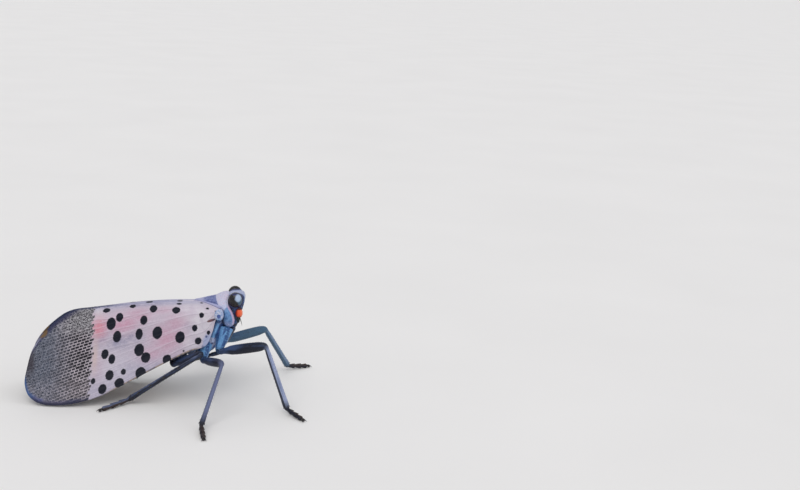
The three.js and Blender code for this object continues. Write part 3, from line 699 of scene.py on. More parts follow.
class LanternflyStage(bpy.types.PropertyGroup):
    """Floor, light and camera."""

    floor: colour_property("Floor", "Pale floor", 240, 238, 236)
    key: plain_property("Main light", "Strength of the soft main light", 1.15)
    fill: plain_property("Fill light", "Strength of the soft fill light", 0.42)
    air: plain_property("Air light", "Strength of the light from all round", 0.5)
    distance: length_property("Camera distance", "Distance from the camera to the insect", 157)
    lens: plain_property("Lens", "Focal length of the camera in millimetres", 54.75, 10.0)


# Wings


def ring_across(lines, back_lines):
    """Shares across the wing, bulges and depths, once round its section: the outer face, a round rim, the
    inner face and the other rim."""
    face = np.linspace(0, 1, lines)
    turn = np.linspace(0, np.pi, 5)[1:-1]
    share = [face, 1 + 0 * turn, np.linspace(1, 0, back_lines), 0 * turn]
    bulge = [0 * face, np.sin(turn), np.zeros(back_lines), -np.sin(turn)]
    depth = [0 * face, (1 - np.cos(turn)) / 2, np.ones(back_lines), (1 + np.cos(turn)) / 2]
    return [np.concatenate(part)[None, :] for part in (share, bulge, depth)]


def vein_mask(u, v, span, veins, width):
    """How near each point is to a vein: the largest of the bells about v = root + (end - root) * smooth step
    of u past the fork, in millimetres across the wing."""
    mask = np.zeros(np.broadcast_shapes(u.shape, v.shape))
    for root, end, fork in veins:
        line = root + (end - root) * smooth(u, fork, fork + 0.3)
        mask = np.maximum(mask, bell((v - line) * span, width))
    return mask


def net_coordinates(x, down, pitch, cell):
    """Row and place along the row in the netted end: the rows fan from a far point ahead, so the row is the
    angle about it and the place is the distance from it, with cells that get shorter towards the tip."""
    ahead, above = 61 - x, down + 9.5
    row = np.arctan2(above, ahead) * 72 / pitch
    along = (np.hypot(above, ahead) + 0.03 * np.maximum(-9 - x, 0) ** 2) / cell
    return row, along


def net_mask(row, along):
    """1 on the net's veins, 0 in its cells: near a whole row, or near a whole cell moved by 0.618 a row."""
    across = np.abs(row - np.floor(row) - 0.5)
    shifted = along + np.floor(row) * 0.618
    length = np.abs(shifted - np.floor(shifted) - 0.5)
    return np.maximum(smooth(across, 0.27, 0.44), smooth(length, 0.36, 0.47))


def nearest_spot(x, down, spots):
    """Distance outside the nearest dark spot in millimetres, less than 0 inside: (|p| - 1) * the mean half
    size, p being the place in the spot's own sizes."""
    nearest = np.full(np.broadcast_shapes(x.shape, down.shape), 9.0)
    for along, below, long, tall in spots:
        p = np.hypot((x - along) / long, (down - below) / tall)
        nearest = np.minimum(nearest, (p - 1) * (long + tall) / 2)
    return nearest


def field(x, down, spots):
    """A soft tint: the largest of strength * e to the power -p², with p in each patch's own sizes."""
    tint = np.zeros(np.broadcast_shapes(x.shape, down.shape))
    for along, below, long, tall, strength in spots:
        tint = np.maximum(tint, strength * np.exp(-((x - along) / long) ** 2 - ((down - below) / tall) ** 2))
    return tint


def wing_grid(inner, outer, rows, across, share_map):
    """Place along and down for each row and share: the point of the outer edge at the row moved towards that
    of the inner edge by the share across."""
    share, bulge, _ = across
    inner_points = outline(inner, rows)[:, None]
    outer_points = outline(outer, share_map(rows))[:, None]
    span = np.linalg.norm(inner_points - outer_points, axis=-1)
    reach = (share + bulge * 0.05 / np.maximum(span, 0.3))[..., None]
    plan = outer_points + (inner_points - outer_points) * reach
    return plan[..., 0], np.maximum(plan[..., 1], 0), span


def build_forewing(side_name, wings, finish):
    """The forewing's sheet lies on the roof; veins and, in the end third, a net raise its outer face."""
    side = SIDES[side_name]
    rows = np.concatenate([
        NODAL_LINE * np.linspace(0, 1, wings.rows_near, endpoint=False),
        NODAL_LINE + (0.992 - NODAL_LINE) * np.linspace(0, 1, wings.rows_net),
    ])
    across = ring_across(wings.lines, 44)
    x, down, span = wing_grid(FOREWING_INNER, FOREWING_OUTER, rows, across, outer_share)
    share, _, depth = across
    u = rows[:, None]
    jitter = np.zeros((len(SPOTS), 4))
    if side > 0:
        jitter = np.random.default_rng(7).uniform(-1, 1, (len(SPOTS), 4)) * [0.16, 0.16, 0.05, 0.06]
    spots = np.array(SPOTS) + jitter
    border = BORDER_X + BORDER_SLANT * down
    netted = smooth(border - x, -0.05, 0.15)
    row, along = net_coordinates(x, down, wings.net_pitch * 1000, wings.net_cell * 1000)
    edge = np.minimum(share, 1 - share) * span
    veins = vein_mask(u, share, span, FOREWING_VEINS, wings.vein_width * 1000)
    veins = veins * smooth(u, 0.0, 0.08) * (1 - 0.8 * netted)
    ledge = bell(edge, 0.16) * (1 - depth)
    net = net_mask(row, along) * netted * smooth(edge, 0.2, 0.5) * (1 - 0.75 * smooth(-x, 10.5, 13.5))
    swell = 0.02 * np.sin(18 * np.pi * share) * smooth(u, 0.1, 0.3) * (1 - netted) * smooth(edge, 0.1, 0.6)
    relief = wings.vein_rise * 1000 * veins + wings.net_rise * 1000 * net + 0.035 * ledge + swell
    relief = relief + 0.05 * bell(x - border, 0.14) * smooth(edge, 0.05, 0.3)
    thick = wings.thickness * 1000 * (0.45 + 0.55 * smooth(1 - u, 0.0, 0.35))
    inset = 0.1 - relief * (1 - depth) + depth * thick - 0.3 * relief * depth
    points = roof(x, down, inset, side)
    marks = stacked(nearest_spot(x, down, spots), veins, edge)
    tint = stacked(field(x, down, FLUSH_FIELDS), field(x, down, CREAM_FIELDS), field(x, down, GREY_FIELDS))
    values = {
        "plan": stacked(x, down, share), "marks": marks, "tint": tint,
        "net": stacked(row, along, border - x), "fan": stacked(u, share, span),
    }
    made = skin(capped(points), **{k: capped(v) for k, v in values.items()})
    return piece(f"forewing_{side_name}_sheet", [made], finish, [f"forewing_{side_name}"])


def forewing_finish(wings):
    """Pale membrane with a pink flush, paler veins, round ink spots, and in the end third dark brick-like
    cells in a pale net inside a violet margin."""
    f = Finish("forewing_membrane", 0.55, 0.22)
    spot, vein, edge = f.parts(f.attribute("marks"))
    flush, cream, grey = f.parts(f.attribute("tint"))
    row, along, inside = f.parts(f.attribute("net"))
    plan = f.attribute("plan")
    x, down, share = f.parts(plan)

    # Membrane between hinge and net
    fibre = f.noise(f.stretched(f.attribute("fan"), (7.0, 150.0, 0.0)), 1.0, 3.0)
    cloud = f.noise(plan, 0.9, 2.0)
    mottle = f.noise(plan, 6.0, 3.0)
    mesh = f.step(f.cells(f.stretched(plan, (1.9, 4.4, 0.0)), 1.0), 0.02, 0.1, 1.0, 0.0)
    blush = f.mix(f.step(x + mottle, -6.0, -7.6), wings.flush, wings.salmon)
    base = f.layers(
        wings.ground,
        (f.step(down, 6.0, 9.5) * 0.6, shade(164, 160, 180)),
        (f.near(down, 2.4, 2.0) * 0.5, shade(212, 198, 212)),
        (f.step(down, 1.4, 0.3) * 0.6, shade(150, 154, 188)),
        (cream * f.step(cloud, 0.25, 0.6), wings.cream),
        (grey * f.step(cloud, 0.78, 0.3), wings.grey),
        (flush * f.step(cloud + mottle * 0.3, 0.3, 0.65, 0.75, 1.0), blush),
    )
    base = f.lit(base, 0.74 + fibre * 0.38 + mottle * 0.16)
    base = f.mix(mesh * 0.22, base, wings.vein)
    base = f.mix(vein * 0.34, base, wings.vein)
    # Painted highlight: a pale line in the vein colour along the raised inner edge near the hinge
    base = f.mix(f.step(edge, 0.24, 0.1) * f.step(share, 0.6, 0.8) * f.step(x, 1.0, 3.0), base, wings.vein)

    # Ink spots with slightly ragged rims, and a brown streak at the hinge
    rag = f.noise(plan, 6.0, 2.0) * 0.16 + f.noise(plan, 22.0, 1.0) * 0.05
    spot_mask = f.step(spot + rag, 0.055, 0.15, 1.0, 0.0)
    streak = f.step(f.near(x - down * 0.4, 4.05, 0.8) * f.near(down + x * 0.3, 5.42, 0.24), 0.12, 0.34)
    streak_colour = f.mix(f.step(x, 5.5, 6.0), shade(92, 44, 50), shade(34, 32, 62))
    ink = f.lit(wings.spot, 0.7 + f.noise(plan, 10.0, 2.0) * 0.6)
    costal = f.step(edge, 0.22, 0.09) * f.step(share, 0.5, 0.4) * f.step(x, -7.6, -5.4) * f.step(x, 4.6, 3.4)
    dashes = f.step(f.noise(f.stretched(plan, (1.7, 0.2, 0.0)), 1.0, 1.0), 0.48, 0.56)
    corner = f.step(x + down * 0.25 + cloud * 0.5, 6.25, 6.7) * f.step(down, 5.0, 5.8)
    beads = f.step(f.cells(f.stretched(plan, (1.9, 1.9, 0.0)), 1.0, "F1"), 0.36, 0.26)
    base = f.layers(
        base,
        (corner * 0.8, shade(152, 164, 200)),
        (corner * beads * 0.9, shade(48, 64, 112)),
        (f.near(inside, -0.35, 0.6) * f.near(down, 6.6, 3.4) * 0.6, shade(204, 180, 172)),
        (costal * 0.75, f.mix(dashes, shade(138, 120, 90), shade(56, 46, 42))),
        (streak * 0.9, streak_colour),
        (spot_mask, ink),
    )

    # Net of the end third: brick rows with broad cells, and towards the tip fine cells of no order
    waver = f.noise(plan, 2.6, 2.0) - 0.5
    far = f.step(x + waver * 1.8, -10.2, -14.4)
    upper = f.step(down + waver * 2.0, 4.6, 2.4)
    low = f.step(down + waver * 2.0, 8.0, 10.2)
    bent_row = row + waver * (far + upper * 0.6) * 0.3
    bent_along = along + waver * 0.4
    whole = f.maths("FLOOR", bent_row)
    shifted = bent_along + whole * 0.618
    cell = f.maths("FLOOR", shifted)
    chance = f.chance(f.joined(whole, cell))
    shrink = (chance - 0.5) * 0.12 + upper * 0.03
    rowed = f.maths("ABSOLUTE", bent_row - whole - 0.5) + shrink
    celled = f.maths("ABSOLUTE", shifted - cell - 0.5) + shrink
    bricks = f.most(f.step(rowed, 0.31, 0.43), f.step(celled, 0.38, 0.48))
    fine = f.step(f.cells(f.stretched(plan, (3.2, 6.2, 0.0)), 1.0), 0.16, 0.05)
    net = bricks + (fine - bricks) * f.most(far * 0.6, upper * 0.75, low * 0.35)
    comb = f.maths("FRACT", whole * 0.37) * 0.45
    border = f.step(inside - comb + 0.2 + waver * 0.3, -0.04, 0.06)
    tone = f.noise(plan, 1.1, 3.0)
    bright = f.most(upper * f.step(x, -13.4, -11.8), low * 0.6)
    cell_colour = f.mix(far, wings.net_cell_colour, wings.net_far_cell)
    vein_colour = f.layers(
        wings.net_vein,
        (far * 0.9, wings.net_far_vein),
        (bright * 0.6, wings.net_vein),
        (upper * (1 - far) * 0.5, shade(172, 176, 178)),
    )
    cell_colour = f.lit(cell_colour, 0.7 + chance * 0.6)
    end = f.mix(net, cell_colour, f.lit(vein_colour, 0.68 + tone * 0.6))

    # Margin: navy violet with a lilac rim above, tan and dusky at the tip, blue behind and dark violet below
    rim = f.layers(
        wings.margin,
        (f.step(down + waver * 2.0, 8.4, 6.4), wings.margin_grey),
        (f.step(down, 9.6, 10.6) * f.step(x + waver, -15.9, -15.2), shade(74, 80, 132)),
        (f.step(down, 9.6, 10.6) * f.step(x + waver, -14.8, -13.8), shade(80, 76, 108)),
        (f.step(down, 9.0, 10.4) * f.step(x + waver, -12.0, -10.8), shade(40, 48, 88)),
    )
    wide = f.step(down, 8.6, 9.8, 0.3, 0.12)
    reach = f.step(edge + waver * 0.6 - wide, 0.65, 0.05) * f.step(inside + down * 0.12, 0.6, 3.6)
    end = f.mix(reach * 0.85, end, f.lit(rim, 0.6 + tone * 0.75))
    colour = f.mix(border, base, end)
    outer = f.step(edge + waver * 0.2, 0.42, 0.22)
    ridge = f.step(down + waver * 0.8, 0.6, 0.28) * f.step(x, -4.8, -7.6) * f.step(x, -14.2, -12.8)
    shore = f.step(edge + waver * 0.15, 0.22, 0.1) * f.step(x, -9.5, -11.5) * f.step(down, 3.5, 2.0)
    dusky = f.step(x + waver * 0.4, -15.35, -15.75) * f.near(down, 6.4, 2.6)
    shadow = f.step(edge + waver * 0.3, 0.4, 0.12) * f.step(down, 9.4, 10.4) * f.step(x, -16.2, -15.0)
    tan = f.step(f.near(x, -14.8, 1.1) * f.near(down, 2.85, 1.1), 0.15, 0.5)
    colour = f.layers(
        colour,
        (outer * f.near(down, 4.5, 1.8) * f.step(x, -13.4, -14.2) * 0.9, shade(150, 150, 174)),
        (dusky * 0.85, shade(56, 50, 58)),
        (shadow * border * 0.85, shade(34, 36, 58)),
        (f.most(ridge, shore) * 0.8, shade(46, 54, 86)),
        (tan * 0.85, shade(120, 94, 58)),
    )
    rough = 0.58 - spot_mask * 0.08 - border * (1 - net) * 0.1
    height = mesh * (1 - border) * 0.006 + fibre * 0.008 + border * net * 0.02 + mottle * 0.003
    return f.paint(colour, rough, height)


def build_hindwing(side_name, finish):
    """The hindwing's sheet lies folded a set depth under the roof, with long pleats and raised veins."""
    side = SIDES[side_name]
    rows = np.linspace(0, 0.985, 120)
    across = ring_across(90, 30)
    x, down, span = wing_grid(HINDWING_INNER, HINDWING_OUTER, rows, across, lambda u: u)
    share, _, depth = across
    edge = np.minimum(share, 1 - share) * span
    veins = vein_mask(rows[:, None], share, span, HINDWING_VEINS, 0.08)
    pleats = 0.05 * np.cos(14 * np.pi * share) * smooth(edge, 0.05, 0.5)
    relief = 0.07 * veins + pleats
    points = roof(x, down, HINDWING_INSET + 0.18 - relief + 0.14 * depth, side, 0.17)
    values = {"plan": stacked(x, down, share), "marks": stacked(edge, veins, share + 0 * x)}
    made = skin(capped(points), **{k: capped(v) for k, v in values.items()})
    return piece(f"hindwing_{side_name}_sheet", [made], finish, [f"hindwing_{side_name}"])


def hindwing_finish(wings):
    """Red root with round black spots, a white band and a black netted end."""
    f = Finish("hindwing_membrane", 0.55, 0.35)
    plan = f.attribute("plan")
    x, down, _ = f.parts(plan)
    vein = f.parts(f.attribute("marks"))[1]
    waver = f.noise(plan, 0.8, 3.0) - 0.5
    red = f.lit(wings.red, 0.75 + f.noise(plan, 3.0, 3.0) * 0.5)
    spots = f.step(f.cells(f.stretched(plan, (0.42, 0.42, 0.0)), 1.0, "F1"), 0.27, 0.22)
    base = f.mix(spots, red, wings.black)
    base = f.mix(f.step(x + waver * 1.2, -6.2, -6.5), base, wings.white)
    base = f.mix(f.step(x + down * 0.3 + waver * 1.6, -5.6, -5.9), base, wings.black)
    base = f.mix(vein * 0.35, base, shade(120, 60, 60))
    return f.paint(base, None, f.noise(plan, 9.0, 2.0) * 0.01)


# Head and feelers


def build_head(body, finish):
    """Head: a superellipse at each height, with rims round eyes and feelers, keels down the face, a hollow
    crown and a groove behind the cheeks."""
    t, a = grid(110, 180)
    z = HEAD_TOP - (HEAD_TOP - HEAD_LOW) * (1 - np.cos(np.pi * t)) / 2
    fill = domed(t, 0.36)
    middle = (head_front(z) + head_back(z)) / 2
    deep = (head_front(z) - head_back(z)) / 2 * fill
    wide = head_half_width(z) * fill
    points = stacked(middle + deep * signed(np.cos(a), 0.7), wide * signed(np.sin(a), 0.62), z)
    rim = body.rim * 1000
    eye, feeler = (
        np.minimum(*(distance_to(points, part["centre"], part["half"], side) for side in SIDES.values()))
        for part in (EYE, ANTENNA)
    )
    relief = 1.5 * rim * bell(eye - 1.14, 0.09) + 1.3 * rim * bell(feeler - 1.2, 0.12)
    x, y, z = np.moveaxis(points, -1, 0)
    face = smooth(x - head_back(z), 0.9, 1.6) * smooth(z, 9.0, 9.6) * (1 - smooth(z, 12.8, 13.2))
    keels = bell(np.abs(y) - 0.62 * head_half_width(z), 0.09) + 0.6 * bell(y, 0.08)
    hollow = (1 - smooth(np.abs(y), 0.6, 1.1)) * (1 - smooth(x, 9.1, 9.5))
    relief = relief + 0.09 * keels * face + smooth(z, 13.1, 13.4) * (0.06 * bell(y, 0.09) - 0.12 * hollow)
    relief = relief - 0.05 * bell(z - 10.3, 0.12) * smooth(x, 8.2, 8.7)
    made = skin(raised(points, relief), rings=stacked(eye, feeler, 0.0))
    return piece("head_shell", [made], finish, ["head"])


def waxy(f, place, colour, speck, amount):
    """A waxy bloom: soft clouds of fine pale grains thrown over a colour."""
    cloud = f.step(f.noise(place, 2.6, 2.0), 0.4, 0.65)
    grain = f.step(f.noise(place, 21.0, 4.0), 0.46, 0.68)
    return f.mix(grain * (cloud + 0.25) * amount, colour, speck)


def head_finish(body):
    """Lilac crown with a pale front rim painted as a highlight, an ink ring round each eye and feeler, and an
    ink face with a deep blue bloom on its keels."""
    f = Finish("head_cuticle", 0.48, 0.45)
    place = f.place()
    x, _, z = f.parts(place)
    eye, feeler, _ = f.parts(f.attribute("rings"))
    waver = f.noise(place, 2.2, 3.0) - 0.5
    mottle = f.noise(place, 3.4, 3.0)
    crown = f.step(z + waver * 0.25, 12.95, 13.2)
    # Painted highlight: the pale rim along the front top of the head
    front = f.step(x + waver * 0.15, 9.5, 9.68) * f.step(z, 12.4, 12.9)
    high = f.step(z, 12.6, 13.2)
    eye_ring = f.step(eye + waver * 0.1 - high * 0.14, 1.32, 1.2)
    feeler_ring = f.step(feeler + waver * 0.12, 1.5, 1.25)
    colour = f.layers(
        body.ink,
        (f.step(mottle, 0.42, 0.6) * 0.75, body.deep),
        (f.step(z + waver * 0.8, 11.9, 12.5) * 0.8, shade(92, 122, 168)),
        (crown * 0.85, shade(184, 188, 214)),
        (crown * f.step(mottle, 0.48, 0.6) * 0.55, shade(122, 134, 180)),
        # Painted highlight on the head's front top rim
        (front, shade(196, 202, 222)),
        (f.near(eye, 1.56, 0.2) * high * 0.75, shade(112, 142, 190)),
        (f.most(eye_ring, feeler_ring) * 0.92, shade(30, 40, 88)),
    )
    colour = waxy(f, place, f.lit(colour, 0.78 + f.noise(place, 6.0, 3.0) * 0.44), body.crown, 0.12)
    height = f.noise(place, 9.0, 3.0) * 0.03 + f.noise(place, 30.0, 2.0) * 0.008
    return f.paint(colour, None, height)


def build_eyes(finish):
    """Each eye is an oval ball."""
    for name, side in SIDES.items():
        points = oval(EYE["centre"], EYE["half"], side, 72, 96)
        piece(f"eye_{name}_ball", [skin(points)], finish, [f"eye_{name}"])


def eye_finish(body):
    """Dark glossy facets: on the outer face a painted reflection, a blue-white oval with teal below it, and a
    navy upper rim.
    """
    f = Finish("eye_facets", 0.24, 0.35, {"Coat Weight": 0.3, "Coat Roughness": 0.1})
    place = f.place()
    x, y, z = f.parts(place)
    waver = f.noise(place, 1.8, 2.0) - 0.5
    outer = f.step(f.maths("ABSOLUTE", y), 1.68, 1.9)

    def oval_at(along, high, long, tall):
        first, second = (x - along + waver * 0.2) / long, (z - high + waver * 0.2) / tall
        return first * first + second * second

    # Painted reflection on the outer face only: a blue-white oval with painted teal reflection below it
    painted_reflection = f.step(oval_at(8.78, 13.06, 0.4, 0.46), 1.5, 0.3) * outer
    teal_painted_light = f.step(oval_at(8.98, 12.55, 0.3, 0.46), 1.4, 0.3) * outer
    rim = f.step(x * 0.7 + z * 0.71 + waver * 0.3, 14.7, 14.3)
    facet = f.cells(place, 15.0)
    colour = f.layers(
        body.eye,
        (rim * 0.5, shade(50, 46, 32)),
        (teal_painted_light * 0.6, shade(74, 116, 146)),
        (f.step(z, 13.34, 13.46) * outer, shade(32, 40, 92)),
        (painted_reflection * 0.95, body.eye_sheen),
    )
    colour = f.lit(colour, f.step(facet, 0.0, 0.2, 0.8, 1.05))
    return f.paint(colour, None, f.step(facet, 0.0, 0.3) * 0.006)


def build_feelers(finish):
    """The swollen joint is an oval set with small round pits in staggered rows, each the smooth step of the
    distance from its middle. A short stalk joins it to the face, and a thin bristle hangs from below."""
    t, a = grid(72, 110)
    rings = t * 9
    turn = a / (2 * np.pi) * 11 + 0.5 * (np.floor(rings) % 2)
    girth = np.maximum(np.sin(np.pi * t), 0.2) * 1.2
    pit = np.hypot(rings - np.floor(rings) - 0.5, (turn - np.floor(turn) - 0.5) * girth)
    pits = 0.03 * (1 - smooth(pit, 0.18, 0.4)) * smooth(np.sin(np.pi * t), 0.2, 0.5)
    x, y, z = ANTENNA["centre"]
    for name, side in SIDES.items():
        root = np.array([x + 0.06, side * (y + 0.08), z - 0.48])
        parts = [
            raised(oval(ANTENNA["centre"], ANTENNA["half"], side, 72, 110), pits),
            oval((x, y + 0.03, z + 0.6), (0.3, 0.28, 0.2), side, 20, 32),
            oval((x - 0.08, y + 0.1, z - 0.8), (0.2, 0.2, 0.44), side, 20, 28),
            spine(root, root + np.array([0.3, side * 0.62, -1.0]), 0.065, (0.06, 0, -0.05), 14, 10),
        ]
        skins = [skin(points, part=np.full(points.shape, float(n))) for n, points in enumerate(parts)]
        piece(f"feeler_{name}", skins, finish, [f"antenna_{name}"])


def feeler_finish(body):
    """Orange bulb, darker behind and below, with a red-black cap above and a green-black knob and a black
    bristle below."""
    f = Finish("feeler_skin", 0.38, 0.5, {"Subsurface Weight": 0.1, "Subsurface Scale": 0.0004})
    place = f.place()
    x, _, z = f.parts(place)
    kind = f.parts(f.attribute("part"))[0]
    tone = f.noise(place, 5.0, 3.0)
    orange = f.layers(
        f.lit(body.feeler, 0.8 + tone * 0.4),
        (f.step(x, 9.0, 9.25) * 0.5, shade(250, 150, 110)),
        (f.step(x, 8.85, 8.58) * 0.7, shade(120, 30, 20)),
        (f.step(z, 10.8, 10.52) * 0.85, shade(90, 26, 18)),
    )
    colour = f.layers(
        orange,
        (f.step(kind, 0.5, 0.6), shade(52, 10, 14)),
        (f.step(kind, 1.5, 1.6), shade(8, 34, 36)),
        (f.step(kind, 2.5, 2.6), shade(20, 20, 24)),
    )
    return f.paint(colour, None, f.noise(place, 20.0, 2.0) * 0.008)


# Body plates


def build_pronotum(finish):
    """Pronotum: a saddle of superellipse sections whose front and back edges follow the height, with a keel,
    two pits on top, rims along its edges and a fold down each lobe."""
    t, a = grid(100, 190)
    fill = domed(t, 0.26)
    up = signed(np.cos(a), 0.8) * fill
    z = (PRONOTUM_TOP + PRONOTUM_LOW) / 2 + (PRONOTUM_TOP - PRONOTUM_LOW) / 2 * up
    y = pronotum_half_width(z) * signed(np.sin(a), 0.75) * fill
    share = (1 - np.cos(np.pi * t)) / 2
    x = pronotum_back(z) + (pronotum_front(z) - pronotum_back(z)) * share
    points = stacked(x, y, z - PRONOTUM_FALL * np.maximum(up, 0) * (1 - share))
    wide = np.abs(points[..., 1])
    relief = 0.07 * bell(wide, 0.1) * smooth(up, 0.6, 0.9) * domed(t, 0.5)
    relief = relief - 0.08 * bell(wide - 0.62, 0.24) * bell(share - 0.42, 0.16) * smooth(up, 0.6, 0.9)
    relief = relief + 0.05 * (bell(share - 0.06, 0.035) + bell(share - 0.93, 0.04))
    fold = bell(share - 0.55 - 0.06 * np.sin(1.6 * z), 0.1) * smooth(wide, 1.9, 2.3) * bell(z - 10.6, 1.5)
    relief = relief - 0.09 * fold
    made = skin(raised(points, relief), plate=stacked(share, wide, 0.0))
    return piece("pronotum_plate", [made], finish, ["pronotum"])


def pronotum_finish(body):
    """Pale lilac on top with pinkish flecks; sky blue lobes with deeper blue clouds, a pink front edge, a
    dark hind edge and white grains low down."""
    f = Finish("pronotum_wax", 0.55, 0.35)
    place = f.place()
    x, _, z = f.parts(place)
    share, wide, _ = f.parts(f.attribute("plate"))
    waver = f.noise(place, 1.7, 3.0) - 0.5
    mottle = f.noise(place, 4.2, 3.0)
    top = f.layers(
        body.crown,
        (f.step(mottle, 0.46, 0.6) * 0.5, body.fleck),
        (f.step(z + waver, 12.7, 11.6) * 0.7, shade(178, 194, 228)),
        (f.step(f.noise(place, 7.0, 3.0), 0.54, 0.66) * 0.45, shade(146, 152, 196)),
    )
    streak = f.noise(f.stretched(place, (3.4, 3.4, 1.0)), 1.0, 3.0)
    lobe = f.layers(
        body.sky,
        (f.step(f.noise(place, 2.4, 3.0), 0.46, 0.62) * 0.7, body.deep),
        (f.step(streak, 0.52, 0.64) * 0.6, shade(136, 176, 220)),
        (f.step(z + waver * 0.8, 10.5, 9.7) * 0.6, shade(152, 162, 208)),
        (f.step(mottle, 0.54, 0.62) * f.step(z, 10.3, 9.4) * 0.9, shade(222, 220, 236)),
        (f.step(share + waver * 0.14, 0.76, 0.88) * f.step(z, 9.2, 10.0) * 0.9, shade(202, 178, 210)),
        (f.step(share + waver * 0.14, 0.13, 0.06) * 0.7, body.ink),
    )
    side = f.step(z - (x - 7.3) * 1.2 + waver * 0.6, 12.0, 11.55) * f.step(wide, 1.1, 1.5)
    colour = f.mix(side, top, lobe)
    colour = waxy(f, place, f.lit(colour, 0.82 + f.noise(place, 8.0, 3.0) * 0.36), body.crown, 0.15)
    height = f.noise(place, 7.0, 3.0) * 0.05 + f.cells(place, 6.0) * 0.03
    return f.paint(colour, None, height)


def build_mesonotum(finish):
    """Mesonotum: a domed shield between the wings; its half width follows their inner edges, with a keel and
    two side keels that run together behind."""
    t, a = grid(90, 130)
    x = SHIELD_TIP + (SHIELD_FRONT - SHIELD_TIP) * t
    edge = roof(x, inner_edge_down(x), 0, 1, 0.17)
    edge_y, edge_z = edge[..., 1], edge[..., 2]
    fill = np.minimum(1, 2.2 * domed(t, 0.7))
    up = np.cos(a) * fill
    half = np.maximum(edge_y - 0.08, 0.12)
    crown, base = shield_top(x) - edge_z, edge_z - SHIELD_BASE
    z = edge_z + np.where(up > 0, crown * signed(up, 0.9), base * signed(up, 0.6))
    points = stacked(x, half * signed(np.sin(a), 0.85) * fill, z)
    y = points[..., 1]
    keels = bell(y, 0.07) + bell(np.abs(y) - 0.55 * half, 0.07)
    relief = 0.05 * keels * smooth(up, 0.2, 0.6) * domed(t, 0.4)
    made = skin(raised(points, relief), plate=stacked(up, 0.0, 0.0))
    return piece("mesonotum_plate", [made], finish, ["mesonotum"])


def mesonotum_finish(body):
    """Blue-violet core with darker hollows, a pale lilac border along each side and a pale tip."""
    f = Finish("mesonotum_wax", 0.55, 0.3)
    place = f.place()
    x = f.parts(place)[0]
    up = f.parts(f.attribute("plate"))[0]
    waver = f.noise(place, 1.9, 3.0) - 0.5
    border = f.step(up + waver * 0.12, 0.34, 0.24)
    colour = f.layers(
        body.shield,
        (f.step(f.noise(place, 2.8, 3.0), 0.46, 0.6) * 0.7, shade(70, 82, 138)),
        (f.near(up, 0.46, 0.18) * 0.5, shade(58, 66, 116)),
        (f.step(f.noise(place, 5.0, 2.0), 0.54, 0.64) * 0.5, shade(140, 144, 190)),
        (f.step(x + waver, 5.0, 4.3) * 0.8, shade(176, 176, 206)),
        (border * 0.9, shade(186, 186, 222)),
        (f.step(up, 0.06, 0.0) * 0.5, shade(110, 106, 134)),
    )
    colour = waxy(f, place, f.lit(colour, 0.8 + f.noise(place, 9.0, 3.0) * 0.4), body.crown, 0.16)
    return f.paint(colour, None, f.noise(place, 8.0, 3.0) * 0.05)


def build_tegulae(finish):
    """Tegula: an oval scale over the wing's hinge with a sunken middle and a raised rim."""
    (middle, beside, height), (long, _, tall) = TEGULA["centre"], TEGULA["half"]
    for name, side in SIDES.items():
        points = oval(TEGULA["centre"], TEGULA["half"], side, 48, 64)
        x, y, z = np.moveaxis(points, -1, 0)
        flat = np.hypot((x - middle) / long, (z - height) / tall)
        outer = smooth(side * y, beside, beside + 0.1)
        relief = outer * (0.035 * bell(flat - 0.74, 0.14) - 0.05 * bell(flat - 0.1, 0.35))
        made = skin(raised(points, relief))
        piece(f"tegula_{name}_scale", [made], finish, [f"tegula_{name}"])


def tegula_finish():
    """Whitish scale with two blue patches."""
    f = Finish("tegula_wax", 0.5, 0.35)
    place = f.place()
    x, _, z = f.parts(place)
    waver = f.noise(place, 2.6, 3.0) - 0.5
    upper = f.near(x + waver * 0.3, 6.44, 0.34) * f.near(z + waver * 0.4, 10.98, 0.42)
    lower = f.near(x + waver * 0.3, 6.46, 0.32) * f.near(z + waver * 0.3, 10.34, 0.26)
    colour = f.layers(
        f.mix(f.step(f.noise(place, 4.0, 3.0), 0.42, 0.58), shade(194, 198, 218), shade(142, 164, 204)),
        (f.step(z + waver * 0.6, 10.9, 10.4) * 0.75, shade(98, 142, 190)),
        (f.step(x + waver * 0.4, 6.75, 6.95) * 0.7, shade(168, 176, 210)),
        (f.step(upper, 0.15, 0.4) * 0.92, shade(56, 80, 146)),
        (f.step(lower, 0.15, 0.4) * 0.9, shade(46, 88, 140)),
    )
    colour = f.lit(colour, 0.82 + f.noise(place, 9.0, 3.0) * 0.36)
    return f.paint(colour, None, f.noise(place, 12.0, 3.0) * 0.02)


